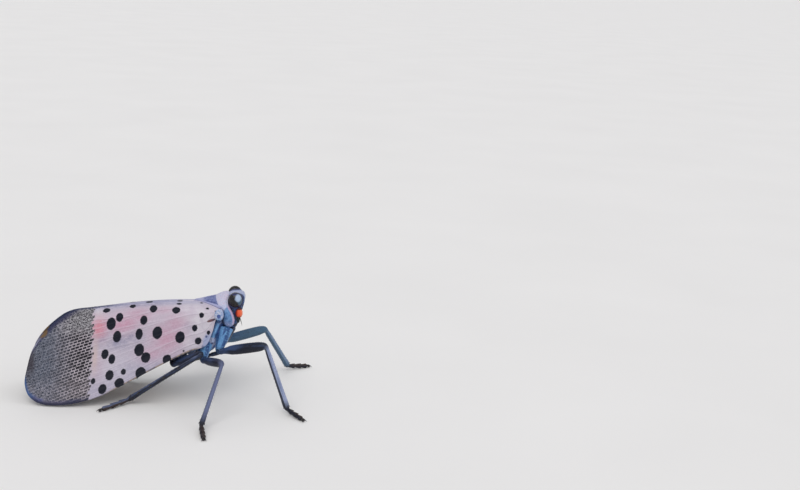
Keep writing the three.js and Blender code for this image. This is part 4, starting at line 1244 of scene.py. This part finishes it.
def build_thorax(body, finish):
    """Thorax: a superellipse block kept under the wings, with oblique grooves that part its side plates and
    swollen lobes over the leg roots, all bells about lines of slanted x or of z."""
    t, a = grid(120, 170)
    front, back = THORAX["front"], THORAX["back"]
    fill = domed(t, 0.42)
    x = back + (front - back) * (1 - np.cos(np.pi * t)) / 2
    floor = thorax_low(x)
    middle, high = (THORAX["top"] + floor) / 2, (THORAX["top"] - floor) / 2
    up = signed(np.cos(a), 0.75)
    keel = 1 - 0.3 * np.maximum(-up, 0)
    points = stacked(x, THORAX["half"] * signed(np.sin(a), 0.75) * fill * keel, middle + high * up * fill)
    points = under_roof(points, 0.42)
    x, y, z = np.moveaxis(points, -1, 0)
    side = smooth(np.abs(y), 0.9, 1.7) * smooth(fill, 0.5, 0.9)
    depth = body.groove * 1000
    slanted = x - 0.28 * (z - 8) + 0.08 * np.sin(1.7 * z)
    grooves = sum(bell(slanted - at, width) for at, width in THORAX["grooves"])
    lobes = sum(bell(slanted - at, width) for at, width in THORAX["lobes"])
    shelf = bell(z - 8.5 + 0.12 * (x - 5), 0.11) * bell(slanted - 5.2, 1.3)
    relief = side * (0.9 * depth * lobes * smooth(z, 5.9, 6.8) - depth * grooves - 0.8 * depth * shelf)
    relief = relief + side * 0.05 * np.sin(5.1 * z + 2.3 * x) * np.sin(3.7 * x - 1.9 * z)
    made = skin(raised(points, relief), plate=stacked(slanted, shelf, 0.0))
    return piece("thorax_plates", [made], finish, ["thorax"])


def thorax_finish(body):
    """Bright waxy blue side plates with ink grooves, painted shade on their low part and, by the middle leg,
    a whitish patch with blue spots."""
    f = Finish("thorax_wax", 0.45, 0.45)
    place = f.place()
    x, _, z = f.parts(place)
    slanted, shelf, _ = f.parts(f.attribute("plate"))
    waver = f.noise(place, 2.0, 3.0) - 0.5
    bent = slanted + waver * 0.16
    groove = f.most(f.near(bent, 5.4, 0.16), f.near(bent, 4.3, 0.2))
    ridge = f.most(f.near(bent, 5.87, 0.34), f.near(bent, 6.88, 0.3))
    patch = f.step(f.near(x + waver * 0.5, 5.35, 1.2) * f.near(z + waver * 0.5, 7.35, 1.1), 0.1, 0.28)
    dots = f.step(f.cells(place, 1.9, "F1"), 0.4, 0.3)
    colour = f.layers(
        body.deep,
        (f.step(f.noise(f.stretched(place, (2.6, 2.6, 1.1)), 1.0, 3.0), 0.48, 0.6) * 0.6, body.sky),
        (f.near(bent, 6.35, 0.3) * 0.8, shade(38, 64, 128)),
        (ridge * 0.9, shade(118, 170, 220)),
        (patch * 0.85, shade(182, 188, 214)),
        (patch * dots * 0.92, shade(40, 58, 112)),
        (f.most(groove, shelf * 0.6) * 0.8, body.ink),
        (f.step(z + waver * 0.6, 9.5, 9.9) * f.step(x, 6.35, 6.6) * 0.8, shade(164, 176, 210)),
        (f.step(f.near(x, 6.5, 0.34) * f.near(z, 10.02, 0.34), 0.1, 0.4) * 0.9, shade(44, 80, 136)),
        # Painted shade: the low part of the thorax darkened to ink
        (f.step(z + waver * 0.8, 6.4, 5.8) * 0.75, body.ink),
    )
    colour = waxy(f, place, f.lit(colour, 0.76 + f.noise(place, 7.0, 3.0) * 0.48), body.crown, 0.15)
    return f.paint(colour, None, f.noise(place, 8.0, 3.0) * 0.04)


def build_abdomen(finish):
    """Abdomen: oval rings along the body, each plate's hind edge standing over the next, flat below, with a
    seam between the upper and lower plates."""
    rings = ABDOMEN["rings"]
    t, a = grid(200, 130)
    front, tail = ABDOMEN["front"], ABDOMEN["tail"]
    x = front - (front - tail) * t
    fill = np.minimum(1, np.sqrt(np.sin(np.pi * t) / np.sin(0.22 * np.pi)))
    step = t * rings - np.floor(t * rings)
    ring = 1 - 0.07 * (1 - smooth(step, 0.0, 0.9)) * smooth(t, 0.02, 0.06)
    ring = ring - 0.05 * smooth(step, 0.93, 1.0)
    middle = (abdomen_top(x) + abdomen_low(x)) / 2
    high = (abdomen_top(x) - abdomen_low(x)) / 2 * fill * ring
    up = np.cos(a)
    wide = ABDOMEN["half"] * (1 - 0.42 * t * t) * fill * ring * (1 - 0.25 * np.maximum(up, 0))
    seam = 1 - 0.06 * bell(up + 0.25, 0.09)
    points = stacked(x, wide * signed(np.sin(a), 0.9) * seam, middle + high * up)
    points = under_roof(points, 1.55)
    made = skin(points, plates=stacked(t * rings, up, 0.0))
    return piece("abdomen_rings", [made], finish, ["abdomen"])


def abdomen_finish(body):
    """Dark plates with yellow hind edges and sides under a thin white wax."""
    f = Finish("abdomen_cuticle", 0.5, 0.4)
    place = f.place()
    station, up, _ = f.parts(f.attribute("plates"))
    share = f.maths("FRACT", station)
    waver = f.noise(place, 1.6, 3.0) - 0.5
    yellow = f.most(f.step(share + waver * 0.2, 0.66, 0.8), f.near(up + waver * 0.3, -0.25, 0.3))
    wax = f.step(f.noise(place, 3.2, 3.0), 0.5, 0.7)
    colour = f.layers(
        body.band,
        (yellow * 0.9, body.belly),
        (wax * 0.35, shade(214, 210, 206)),
    )
    colour = f.lit(colour, 0.84 + f.noise(place, 8.0, 3.0) * 0.32)
    return f.paint(colour, None, f.noise(place, 10.0, 3.0) * 0.03)


def rod(points, half, rows, columns, hint):
    """A tapered oval length along a bent line, with domed ends: ovals of half(share) about its places."""
    line = np.array(points, float)
    length = travelled(line)
    share = (1 - np.cos(np.pi * np.linspace(0, 1, rows))) / 2
    centre = np.stack([np.interp(share * length[-1], length, line[:, k]) for k in range(3)], -1)
    kernel = np.ones(5) / 5
    padded = np.pad(centre, ((2, 2), (0, 0)), mode="edge")
    eased = np.stack([np.convolve(padded[:, k], kernel, mode="valid") for k in range(3)], -1)
    axis = unit(np.gradient(eased, axis=0))
    across = unit(hint - axis * (axis @ np.array(hint, float))[:, None])
    wide, deep = half(share)
    fill = round_end(np.minimum(share, 1 - share) * length[-1], max(wide.max(), 0.2))
    return centre[:, None] + sections(across, np.cross(axis, across), wide * fill, deep * fill, columns)


def build_mouth(finish):
    """Face plate with a middle keel, and the three-jointed beak folded back under the chest."""
    plate = rod(CLYPEUS, lambda s: (0.46 - 0.16 * s, 0.8 - 0.46 * s), 60, 72, (1, 0, 0))
    y, z = plate[..., 1], plate[..., 2]
    plate = raised(plate, 0.07 * bell(y, 0.12) * smooth(z, 6.4, 7.0) + 0.03 * bell(np.abs(y) - 0.4, 0.08))
    piece("clypeus_plate", [skin(plate)], finish, ["clypeus"])
    beak = rod(BEAK, lambda s: (beak_size(s), beak_size(s)), 90, 32, (0, 0, 1))
    beak = raised(beak, -0.05 * bell(turns(32)[None, :] - np.pi, 0.3) * np.ones((90, 1)))
    piece("beak_tube", [skin(beak)], finish, ["rostrum"])


def mouth_finish(body):
    """Ink cuticle with a little blue bloom."""
    f = Finish("mouth_cuticle", 0.4, 0.5)
    place = f.place()
    bloom = f.step(f.noise(place, 3.0, 3.0), 0.48, 0.7)
    colour = f.mix(bloom * 0.35, body.ink, body.deep)
    return f.paint(colour, None, f.noise(place, 12.0, 3.0) * 0.02)


# Legs


def joints_of(kind, side_name):
    """A leg's five joint places, from hip to toe."""
    spec, side = LEGS[kind], SIDES[side_name]
    places = (*spec["coxa"], spec["knee"][side_name])
    hip, trochanter, knee = (np.array([x, side * y, z]) for x, y, z in places)
    length, heading = spec["shin"][side_name]
    foot, foot_heading = spec["foot"][side_name]
    level = np.sqrt(length**2 - (knee[2] - ANKLE_HEIGHT) ** 2)
    turn, foot_turn = np.radians(heading), np.radians(foot_heading)
    ankle = knee + level * np.array([np.cos(turn), side * np.sin(turn), 0])
    toe = ankle + foot * np.array([np.cos(foot_turn), side * np.sin(foot_turn), 0])
    ankle[2], toe[2] = ANKLE_CENTRE, SOLE_CENTRE + 0.02
    root = hip + (hip - trochanter) / np.linalg.norm(hip - trochanter) * 0.5
    return [root, trochanter, knee, ankle, toe]


def bent_line(joints, bends, pace=0.11):
    """Places and stations along a line through the joints with rounded corners: each corner is the curve
    (1 - t)²a + 2t(1 - t)b + t²c between points a and c a bend's length before and after it."""
    places, stations = [], []
    count = len(joints) - 1
    lengths = [np.linalg.norm(joints[i + 1] - joints[i]) for i in range(count)]
    for i in range(count):
        ahead = (joints[i + 1] - joints[i]) / lengths[i]
        start, stop = bends[i], lengths[i] - bends[i + 1]
        s = np.linspace(start, stop, max(int((stop - start) / pace), 3))[:, None]
        places.append(joints[i] + ahead * s)
        stations.append(i + s[:, 0] / lengths[i])
        if i + 1 < count:
            onward = (joints[i + 2] - joints[i + 1]) / lengths[i + 1]
            b, bend = joints[i + 1], bends[i + 1]
            a, c = b - ahead * bend, b + onward * bend
            t = np.linspace(0, 1, 9)[1:-1, None]
            places.append((1 - t) ** 2 * a + 2 * t * (1 - t) * b + t**2 * c)
            pace_in, pace_out = bend / lengths[i], bend / lengths[i + 1]
            stations.append((i + 1 + (2 * t - 1) * np.where(t < 0.5, pace_in, pace_out))[:, 0])
    return np.concatenate(places), np.concatenate(stations)


def leg_profile(kind):
    """Half width and half depth of a leg by station: hip 0 to 1, thigh 1 to 2, shin 2 to 3, foot 3 to 4."""
    curves = []
    for thigh, shin, (hips, thighs, shins) in zip(LEGS[kind]["femur"], LEGS[kind]["tibia"], LEG_SHAPES):
        sizes = [*hips, *(thigh * s for s in thighs), *(shin * s for s in shins)]
        curves.append(through([*zip(LEG_STATIONS, sizes), *FOOT_SIZES]))
    return curves


def leg_frames(places, stations, joints):
    """Three directions at each place, along the line and twice across: each length's own, in its plane with
    the upright or the thigh, eased from one length to the next over the joint."""
    count = len(joints) - 1
    ways = [unit(joints[i + 1] - joints[i]) for i in range(count)]
    hints = [np.array([1.0, 0, 0]), np.array([0, 0, 1.0]), ways[1], np.array([0, 0, 1.0])]
    across = [unit(hint - way * (hint @ way)) for hint, way in zip(hints, ways)]
    for i in range(1, count):
        if across[i] @ across[i - 1] < 0:
            across[i] = -across[i]
    blend = across[0][None] * np.ones((len(places), 1))
    for i in range(1, count):
        blend = blend + (across[i] - across[i - 1]) * smooth(stations, i - 0.1, i + 0.1)[:, None]
    axis = unit(np.gradient(places, axis=0))
    first = unit(blend - axis * np.sum(blend * axis, 1, keepdims=True))
    return axis, first, np.cross(axis, first)


def leg_line(kind, side_name):
    """A leg's joints, and along its line the places, stations, directions, half widths and half depths."""
    joints = joints_of(kind, side_name)
    places, stations = bent_line(joints, LEG_BENDS)
    sizes = (size(stations) for size in leg_profile(kind))
    return joints, places, stations, *leg_frames(places, stations, joints), *sizes


def build_leg(kind, side_name, finish):
    """One closed skin from the body to the toe: an oval section whose size follows the station, with low
    lengthwise keels on thigh and shin and ribs on the hip, flattened where it meets the floor."""
    joints, places, stations, _, across, beside, wide, deep = leg_line(kind, side_name)
    run = travelled(places)
    fill = round_end(np.minimum(run, run[-1] - run), 0.24)
    columns = 44
    a = turns(columns)[None, :]
    thigh = smooth(stations, 1.15, 1.3) * (1 - smooth(stations, 1.85, 1.95))
    shin = smooth(stations, 2.08, 2.2) * (1 - smooth(stations, 2.85, 2.95))
    hip = (1 - smooth(stations, 0.75, 0.95))[:, None]
    ribs = 1 + 0.055 * (thigh + shin)[:, None] * np.cos(4 * a + 0.6)
    ribs = ribs + hip * (0.05 * np.cos(3 * a + 1.4 * run[:, None]) + 0.03 * np.cos(5 * a - 2 * run[:, None]))
    outward = sections(across, beside, wide * fill, deep * fill, columns) * ribs[..., None]
    points = places[:, None] + outward
    points[..., 2] = np.maximum(points[..., 2], 0)
    outward = unit(points - places[:, None])
    values = {
        "leg": stacked(stations[:, None], run[:, None], a / (2 * np.pi)),
        "facing": stacked(outward[..., 2], outward @ unit(joints[2] - joints[1]), 0.0),
    }
    nodes = [f"{part}_{kind}_{side_name}" for part in ("coxa", "femur", "tibia", "tarsus")]
    return piece(f"leg_{kind}_{side_name}", [skin(points, **values)], finish, nodes)


# Ground colour of each leg by station, the colour of its bloom, and the strength of its painted ink shade
LEG_TINTS = {
    "fore": [
        (0.0, "steel"), (0.8, "steel"), (1.08, "thigh"), (1.35, "thigh"), (1.6, "ink"), (2.0, "ink"),
        (2.08, "shin"), (2.85, "shin"), (3.0, "ink"), (3.3, "brown"),
    ],
    "mid": [
        (0.0, "steel"), (0.8, "steel"), (1.1, "thigh"), (1.85, "ink"), (2.1, "pale"), (2.75, "pale"),
        (2.98, "ink"), (3.3, "brown"),
    ],
    "hind": [
        (0.0, "ink"), (1.0, "ink"), (1.3, "thigh"), (1.9, "ink"), (2.9, "ink"), (3.2, "brown"),
        (4.0, "brown"),
    ],
}
LEG_BLOOM = {"fore": "thigh", "mid": "pale", "hind": "thigh"}
LEG_SHADOW = {"fore": 0.92, "mid": 0.6, "hind": 0.8}


def leg_finish(kind, side_name, legs):
    """Ink cuticle under a blue or lavender bloom in lengthwise streaks: painted shade darkens the thigh below
    and the shin behind, and the hips have pale rims. The hind shins have a painted highlight along the top,
    and the left fore leg a teal tint of painted light."""
    f = Finish(f"leg_{kind}_{side_name}_cuticle", 0.45, 0.35)
    place = f.place()
    station, run, turn = f.parts(f.attribute("leg"))
    rise, ahead, _ = f.parts(f.attribute("facing"))
    stops = [(where / 4, getattr(legs, tint)) for where, tint in LEG_TINTS[kind]]
    ramp = f.node("ShaderNodeValToRGB", {"stops": stops}, {0: station / 4.0}).outputs[0]
    sine, cosine = f.maths("SINE", turn * 6.2832), f.maths("COSINE", turn * 6.2832)
    streak = f.noise(f.joined(run * 0.45, sine * 1.3, cosine * 1.3), 1.0, 3.0)
    streaky = f.step(f.noise(f.joined(run * 0.3, sine * 1.7, cosine * 1.7), 1.0, 2.0), 0.46, 0.56)
    grain = f.noise(place, 5.0, 3.0)
    bloom = f.step(streak * 0.8 + grain * 0.25, 0.46, 0.66)
    hip = f.step(station, 1.0, 0.75)
    thigh = f.step(station, 1.1, 1.3) * f.step(station, 2.02, 1.95)
    shin = f.step(station, 1.98, 2.08)
    shafts = f.step(station, 1.0, 1.25) * f.step(station, 3.05, 2.85)
    below = thigh * f.step(rise + (streak - 0.5) * 1.2, 0.45, 0.0)
    behind = shin * f.step(ahead + (streak - 0.5) * 0.6, 0.25, -0.05)
    above = shin * f.step(rise + (streak - 0.5), 0.35, 0.75)
    shin_highlight, deep_hip, pale_hip = (0.7, 0.3, 0.2) if kind == "hind" else (0.0, 0.85, 0.45)
    teal_painted_light = 0.6 if (kind, side_name) == ("fore", "left") else 0.0
    colour = f.layers(
        ramp,
        (bloom * shafts * 0.4, getattr(legs, LEG_BLOOM[kind])),
        # Painted shade: ink under the thighs and behind the shins
        (f.most(below, behind) * LEG_SHADOW[kind], legs.ink),
        # Painted highlight along the top of the hind shins
        (above * shin_highlight, shade(96, 108, 140)),
        (hip * streaky * deep_hip, shade(38, 68, 126)),
        (hip * f.step(grain, 0.52, 0.64) * pale_hip, shade(126, 180, 222)),
        (f.near(station, 0.98, 0.22) * f.step(grain, 0.58, 0.46) * 0.8, legs.ink),
        # Painted light: a teal tint over the left fore leg
        (f.step(station, 0.9, 1.1) * f.step(station, 3.1, 2.9) * teal_painted_light, shade(78, 116, 146)),
    )
    colour = f.lit(colour, 0.72 + grain * 0.55)
    return f.paint(colour, 0.4 + bloom * 0.2, f.noise(place, 14.0, 3.0) * 0.02)


def on_leg(line, station, angle, lift=0.9):
    """A place on a leg's skin at a station and an angle round it, the way out of it and the way along: the
    line's place + across * wide * cos(angle) + beside * deep * sin(angle)."""
    _, places, stations, axis, across, beside, wide, deep = line
    columns = (*places.T, *axis.T, *across.T, *beside.T, wide, deep)
    at = np.array([np.interp(station, stations, column) for column in columns])
    out = at[6:9] * at[12] * np.cos(angle) + at[9:12] * at[13] * np.sin(angle)
    return at[:3] + out * lift, unit(out), at[3:6]


def build_thorns(legs, finish):
    """Side spines of the hind shins, crowns of short thorns at the ends of shins and foot joints, and rows of
    fine bristles on thighs and shins."""
    skins = []
    draw = np.random.default_rng(11)
    for kind in LEGS:
        for name, side in SIDES.items():
            line = leg_line(kind, name)
            knee, ankle = line[0][2:4]
            aside = unit(np.array([-0.45, side * 0.72, -0.05])) * legs.spine_length * 1000
            for share in HIND_SPINES if kind == "hind" else ():
                root = knee + (ankle - knee) * share
                skins.append(skin(spine(root, root + aside, 0.19, (0, 0, 0.04), 10, 12)))
            for station, size in ((2.95, 0.3), (3.3, 0.2), (3.62, 0.2)):
                for angle in turns(8):
                    root, out, along = on_leg(line, station, angle)
                    tip = root + along * size * 0.8 + out * size * 0.45
                    root[2], tip[2] = max(root[2], 0.06), max(tip[2], 0.02)
                    skins.append(skin(spine(root, tip, 0.055)))
            for low, high in ((1.3, 1.9), (2.15, 2.9)):
                for angle in turns(6):
                    for step in np.linspace(low, high, legs.bristles):
                        station = step + draw.uniform(-0.012, 0.012)
                        root, out, along = on_leg(line, station, angle + draw.uniform(-0.2, 0.2), 0.96)
                        length = legs.bristle_length * 1000 * draw.uniform(0.75, 1.25)
                        tip = root + unit(along * 0.8 + out * 0.6) * length
                        skins.append(skin(spine(root, tip, 0.018, rows=3, columns=4)))
    return piece("leg_thorns", skins, finish)


def build_claws(finish):
    """Two curved claws at each toe, with the small pad between them."""
    skins = []
    for kind in LEGS:
        for name, side in SIDES.items():
            *_, ankle, toe = joints_of(kind, name)
            heading = LEGS[kind]["foot"][name][1]
            for turn in (-24, 24):
                way = np.radians(heading + turn)
                ahead = np.array([np.cos(way), side * np.sin(way), 0])
                root = toe - ahead * 0.12 + np.array([0, 0, 0.03])
                tip = toe + ahead * 0.7
                tip[2] = 0.05
                skins.append(skin(spine(root, tip, 0.13, (0, 0, 0.13), 14, 12)))
            ahead = unit(toe - ankle)
            pad = oval((0, 0, 0), (0.2, 0.2, 0.12), 1, 16, 24) + toe + ahead * 0.24 - [0, 0, 0.08]
            pad[..., 2] = np.maximum(pad[..., 2], 0.01)
            skins.append(skin(pad))
    return piece("claws", skins, finish)


def thorn_finish(name):
    """Glossy brown-black horn with lighter clouds."""
    f = Finish(name, 0.3, 0.5, {"Coat Weight": 0.2})
    place = f.place()
    return f.paint(f.lit(shade(34, 28, 30), 0.6 + f.noise(place, 4.0, 2.0) * 0.6))


# Stage


def build_floor(stage):
    """A wide plain floor: a flat grid."""
    across = np.linspace(-12, 12, 25)
    points = stacked(across[None, :], across[:, None], 0.0).reshape(-1, 3)
    index = np.arange(len(points)).reshape(25, 25)
    faces = np.stack([index[:-1, :-1], index[:-1, 1:], index[1:, 1:], index[1:, :-1]], -1).reshape(-1, 4)
    mesh = bpy.data.meshes.new("studio_floor")
    mesh.from_pydata(points.tolist(), [], faces.tolist())
    mesh.shade_smooth()
    floor = linked("studio_floor", mesh)
    f = Finish("studio_paper", 0.9, 0.2)
    tone = f.noise(f.node("ShaderNodeTexCoord").outputs["Object"], 30.0, 3.0)
    mesh.materials.append(f.paint(f.lit(stage.floor, 0.97 + tone * 0.06)).material)


def posed(held, axes, place):
    """Turns an object to three axes and moves it to a place."""
    held.matrix_world = Matrix([*np.column_stack([*axes, place]).tolist(), [0, 0, 0, 1]])


def add_light(name, direction, strength, softness, colour):
    """A far soft light that shines from a direction."""
    light = bpy.data.lights.new(name, "SUN")
    light.energy = strength
    light.angle = np.radians(softness)
    light.color = colour
    back = unit(np.array(direction, float))
    side = unit(np.cross([0.02, 0, 1.0], back))
    posed(linked(name, light), (side, np.cross(back, side), back), back)


def add_camera(stage):
    """The camera looks at the insect's right side from above and a little towards the head, turned by the
    least turn that puts the insect's origin at its place in the picture."""
    rise, swing = np.radians(CAMERA_RISE), np.radians(CAMERA_SWING)
    back = np.array([np.sin(swing) * np.cos(rise), -np.cos(swing) * np.cos(rise), np.sin(rise)])
    right = np.array([np.cos(swing), np.sin(swing), 0])
    axes = np.column_stack([right, np.cross(back, right), back])
    aside, below = ORIGIN_PIXEL[0] - PICTURE[0] / 2, ORIGIN_PIXEL[1] - PICTURE[1] / 2
    ray = unit(np.array([aside, -below, -stage.lens / SENSOR * PICTURE[0]]))
    axis = np.cross([0, 0, -1.0], ray)
    turn = Matrix.Rotation(float(np.arcsin(np.linalg.norm(axis))), 3, axis.tolist())
    camera = bpy.data.cameras.new("photo_camera")
    camera.lens = stage.lens
    camera.sensor_width = SENSOR
    camera.clip_start = 0.005
    held = linked("photo_camera", camera)
    posed(held, (axes @ np.array(turn).T).T, ORIGIN * [1, 1, 0] + back * stage.distance)
    bpy.context.scene.camera = held


def add_world(stage):
    """Pale light from all round."""
    world = bpy.data.worlds.new("studio_air")
    world.use_nodes = True
    background = world.node_tree.nodes["Background"]
    background.inputs["Color"].default_value = (0.93, 0.95, 1.0, 1.0)
    background.inputs["Strength"].default_value = stage.air
    bpy.context.scene.world = world


# Operators


class BuildForewings(bpy.types.Operator):
    """Both forewings, closed over the back"""

    bl_idname = "lanternfly.forewings"
    bl_label = "Forewings"

    def execute(self, context):
        wings = context.scene.lanternfly_wings
        finish = forewing_finish(wings)
        for name in SIDES:
            build_forewing(name, wings, finish)
        return {"FINISHED"}


class BuildHindwings(bpy.types.Operator):
    """Both hindwings, folded under the forewings"""

    bl_idname = "lanternfly.hindwings"
    bl_label = "Hindwings"

    def execute(self, context):
        finish = hindwing_finish(context.scene.lanternfly_wings)
        for name in SIDES:
            build_hindwing(name, finish)
        return {"FINISHED"}


class BuildHead(bpy.types.Operator):
    """Head, eyes, feelers and mouth parts"""

    bl_idname = "lanternfly.head"
    bl_label = "Head"

    def execute(self, context):
        body = context.scene.lanternfly_body
        build_head(body, head_finish(body))
        build_eyes(eye_finish(body))
        build_feelers(feeler_finish(body))
        build_mouth(mouth_finish(body))
        return {"FINISHED"}


class BuildPlates(bpy.types.Operator):
    """Pronotum, mesonotum and the scales over the wing hinges"""

    bl_idname = "lanternfly.plates"
    bl_label = "Back plates"

    def execute(self, context):
        body = context.scene.lanternfly_body
        build_pronotum(pronotum_finish(body))
        build_mesonotum(mesonotum_finish(body))
        build_tegulae(tegula_finish())
        return {"FINISHED"}


class BuildTrunk(bpy.types.Operator):
    """Thorax and abdomen"""

    bl_idname = "lanternfly.trunk"
    bl_label = "Thorax and abdomen"

    def execute(self, context):
        body = context.scene.lanternfly_body
        build_thorax(body, thorax_finish(body))
        build_abdomen(abdomen_finish(body))
        return {"FINISHED"}


class BuildLegs(bpy.types.Operator):
    """Six legs with their thorns and claws"""

    bl_idname = "lanternfly.legs"
    bl_label = "Legs"

    def execute(self, context):
        legs = context.scene.lanternfly_legs
        for kind in LEGS:
            for name in SIDES:
                build_leg(kind, name, leg_finish(kind, name, legs))
        build_thorns(legs, thorn_finish("thorn_horn"))
        build_claws(thorn_finish("claw_horn"))
        return {"FINISHED"}


class BuildStage(bpy.types.Operator):
    """Floor, lights and camera"""

    bl_idname = "lanternfly.stage"
    bl_label = "Stage"

    def execute(self, context):
        stage = context.scene.lanternfly_stage
        build_floor(stage)
        add_light("main_light", (-0.2, -0.75, 1.0), stage.key, 50, (1.0, 0.985, 0.96))
        add_light("fill_light", (1.0, -0.5, 0.55), stage.fill, 70, (0.92, 0.96, 1.0))
        add_light("back_light", (-0.3, 1.0, 0.8), stage.fill, 70, (1.0, 1.0, 1.0))
        add_world(stage)
        context.scene.view_settings.view_transform = "Standard"
        add_camera(stage)
        return {"FINISHED"}


STEPS = (BuildForewings, BuildHindwings, BuildHead, BuildPlates, BuildTrunk, BuildLegs, BuildStage)
GROUPS = {
    "lanternfly_wings": LanternflyWings,
    "lanternfly_body": LanternflyBody,
    "lanternfly_legs": LanternflyLegs,
    "lanternfly_stage": LanternflyStage,
}


class VIEW3D_PT_lanternfly(bpy.types.Panel):
    """Steps and settings of the lanternfly"""

    bl_label = "Lanternfly"
    bl_idname = "VIEW3D_PT_lanternfly"
    bl_space_type = "VIEW_3D"
    bl_region_type = "UI"
    bl_category = "Lanternfly"

    def draw(self, context):
        for step in STEPS:
            self.layout.operator(step.bl_idname)
        for label, group in GROUPS.items():
            box = self.layout.box()
            for name in group.__annotations__:
                box.prop(getattr(context.scene, label), name)


def register():
    """Makes the properties, operators and panel known to Blender."""
    for group in GROUPS.values():
        bpy.utils.register_class(group)
    for step in (*STEPS, VIEW3D_PT_lanternfly):
        bpy.utils.register_class(step)
    for label, group in GROUPS.items():
        setattr(bpy.types.Scene, label, PointerProperty(type=group))


def unregister():
    """Takes them away again."""
    for label in GROUPS:
        delattr(bpy.types.Scene, label)
    for step in (VIEW3D_PT_lanternfly, *STEPS[::-1]):
        bpy.utils.unregister_class(step)
    for group in GROUPS.values():
        bpy.utils.unregister_class(group)


def main():
    """Builds every piece and the stage in order."""
    register()
    for step in STEPS:
        group, name = step.bl_idname.split(".")
        getattr(getattr(bpy.ops, group), name)()


if __name__ == "__main__":
    main()
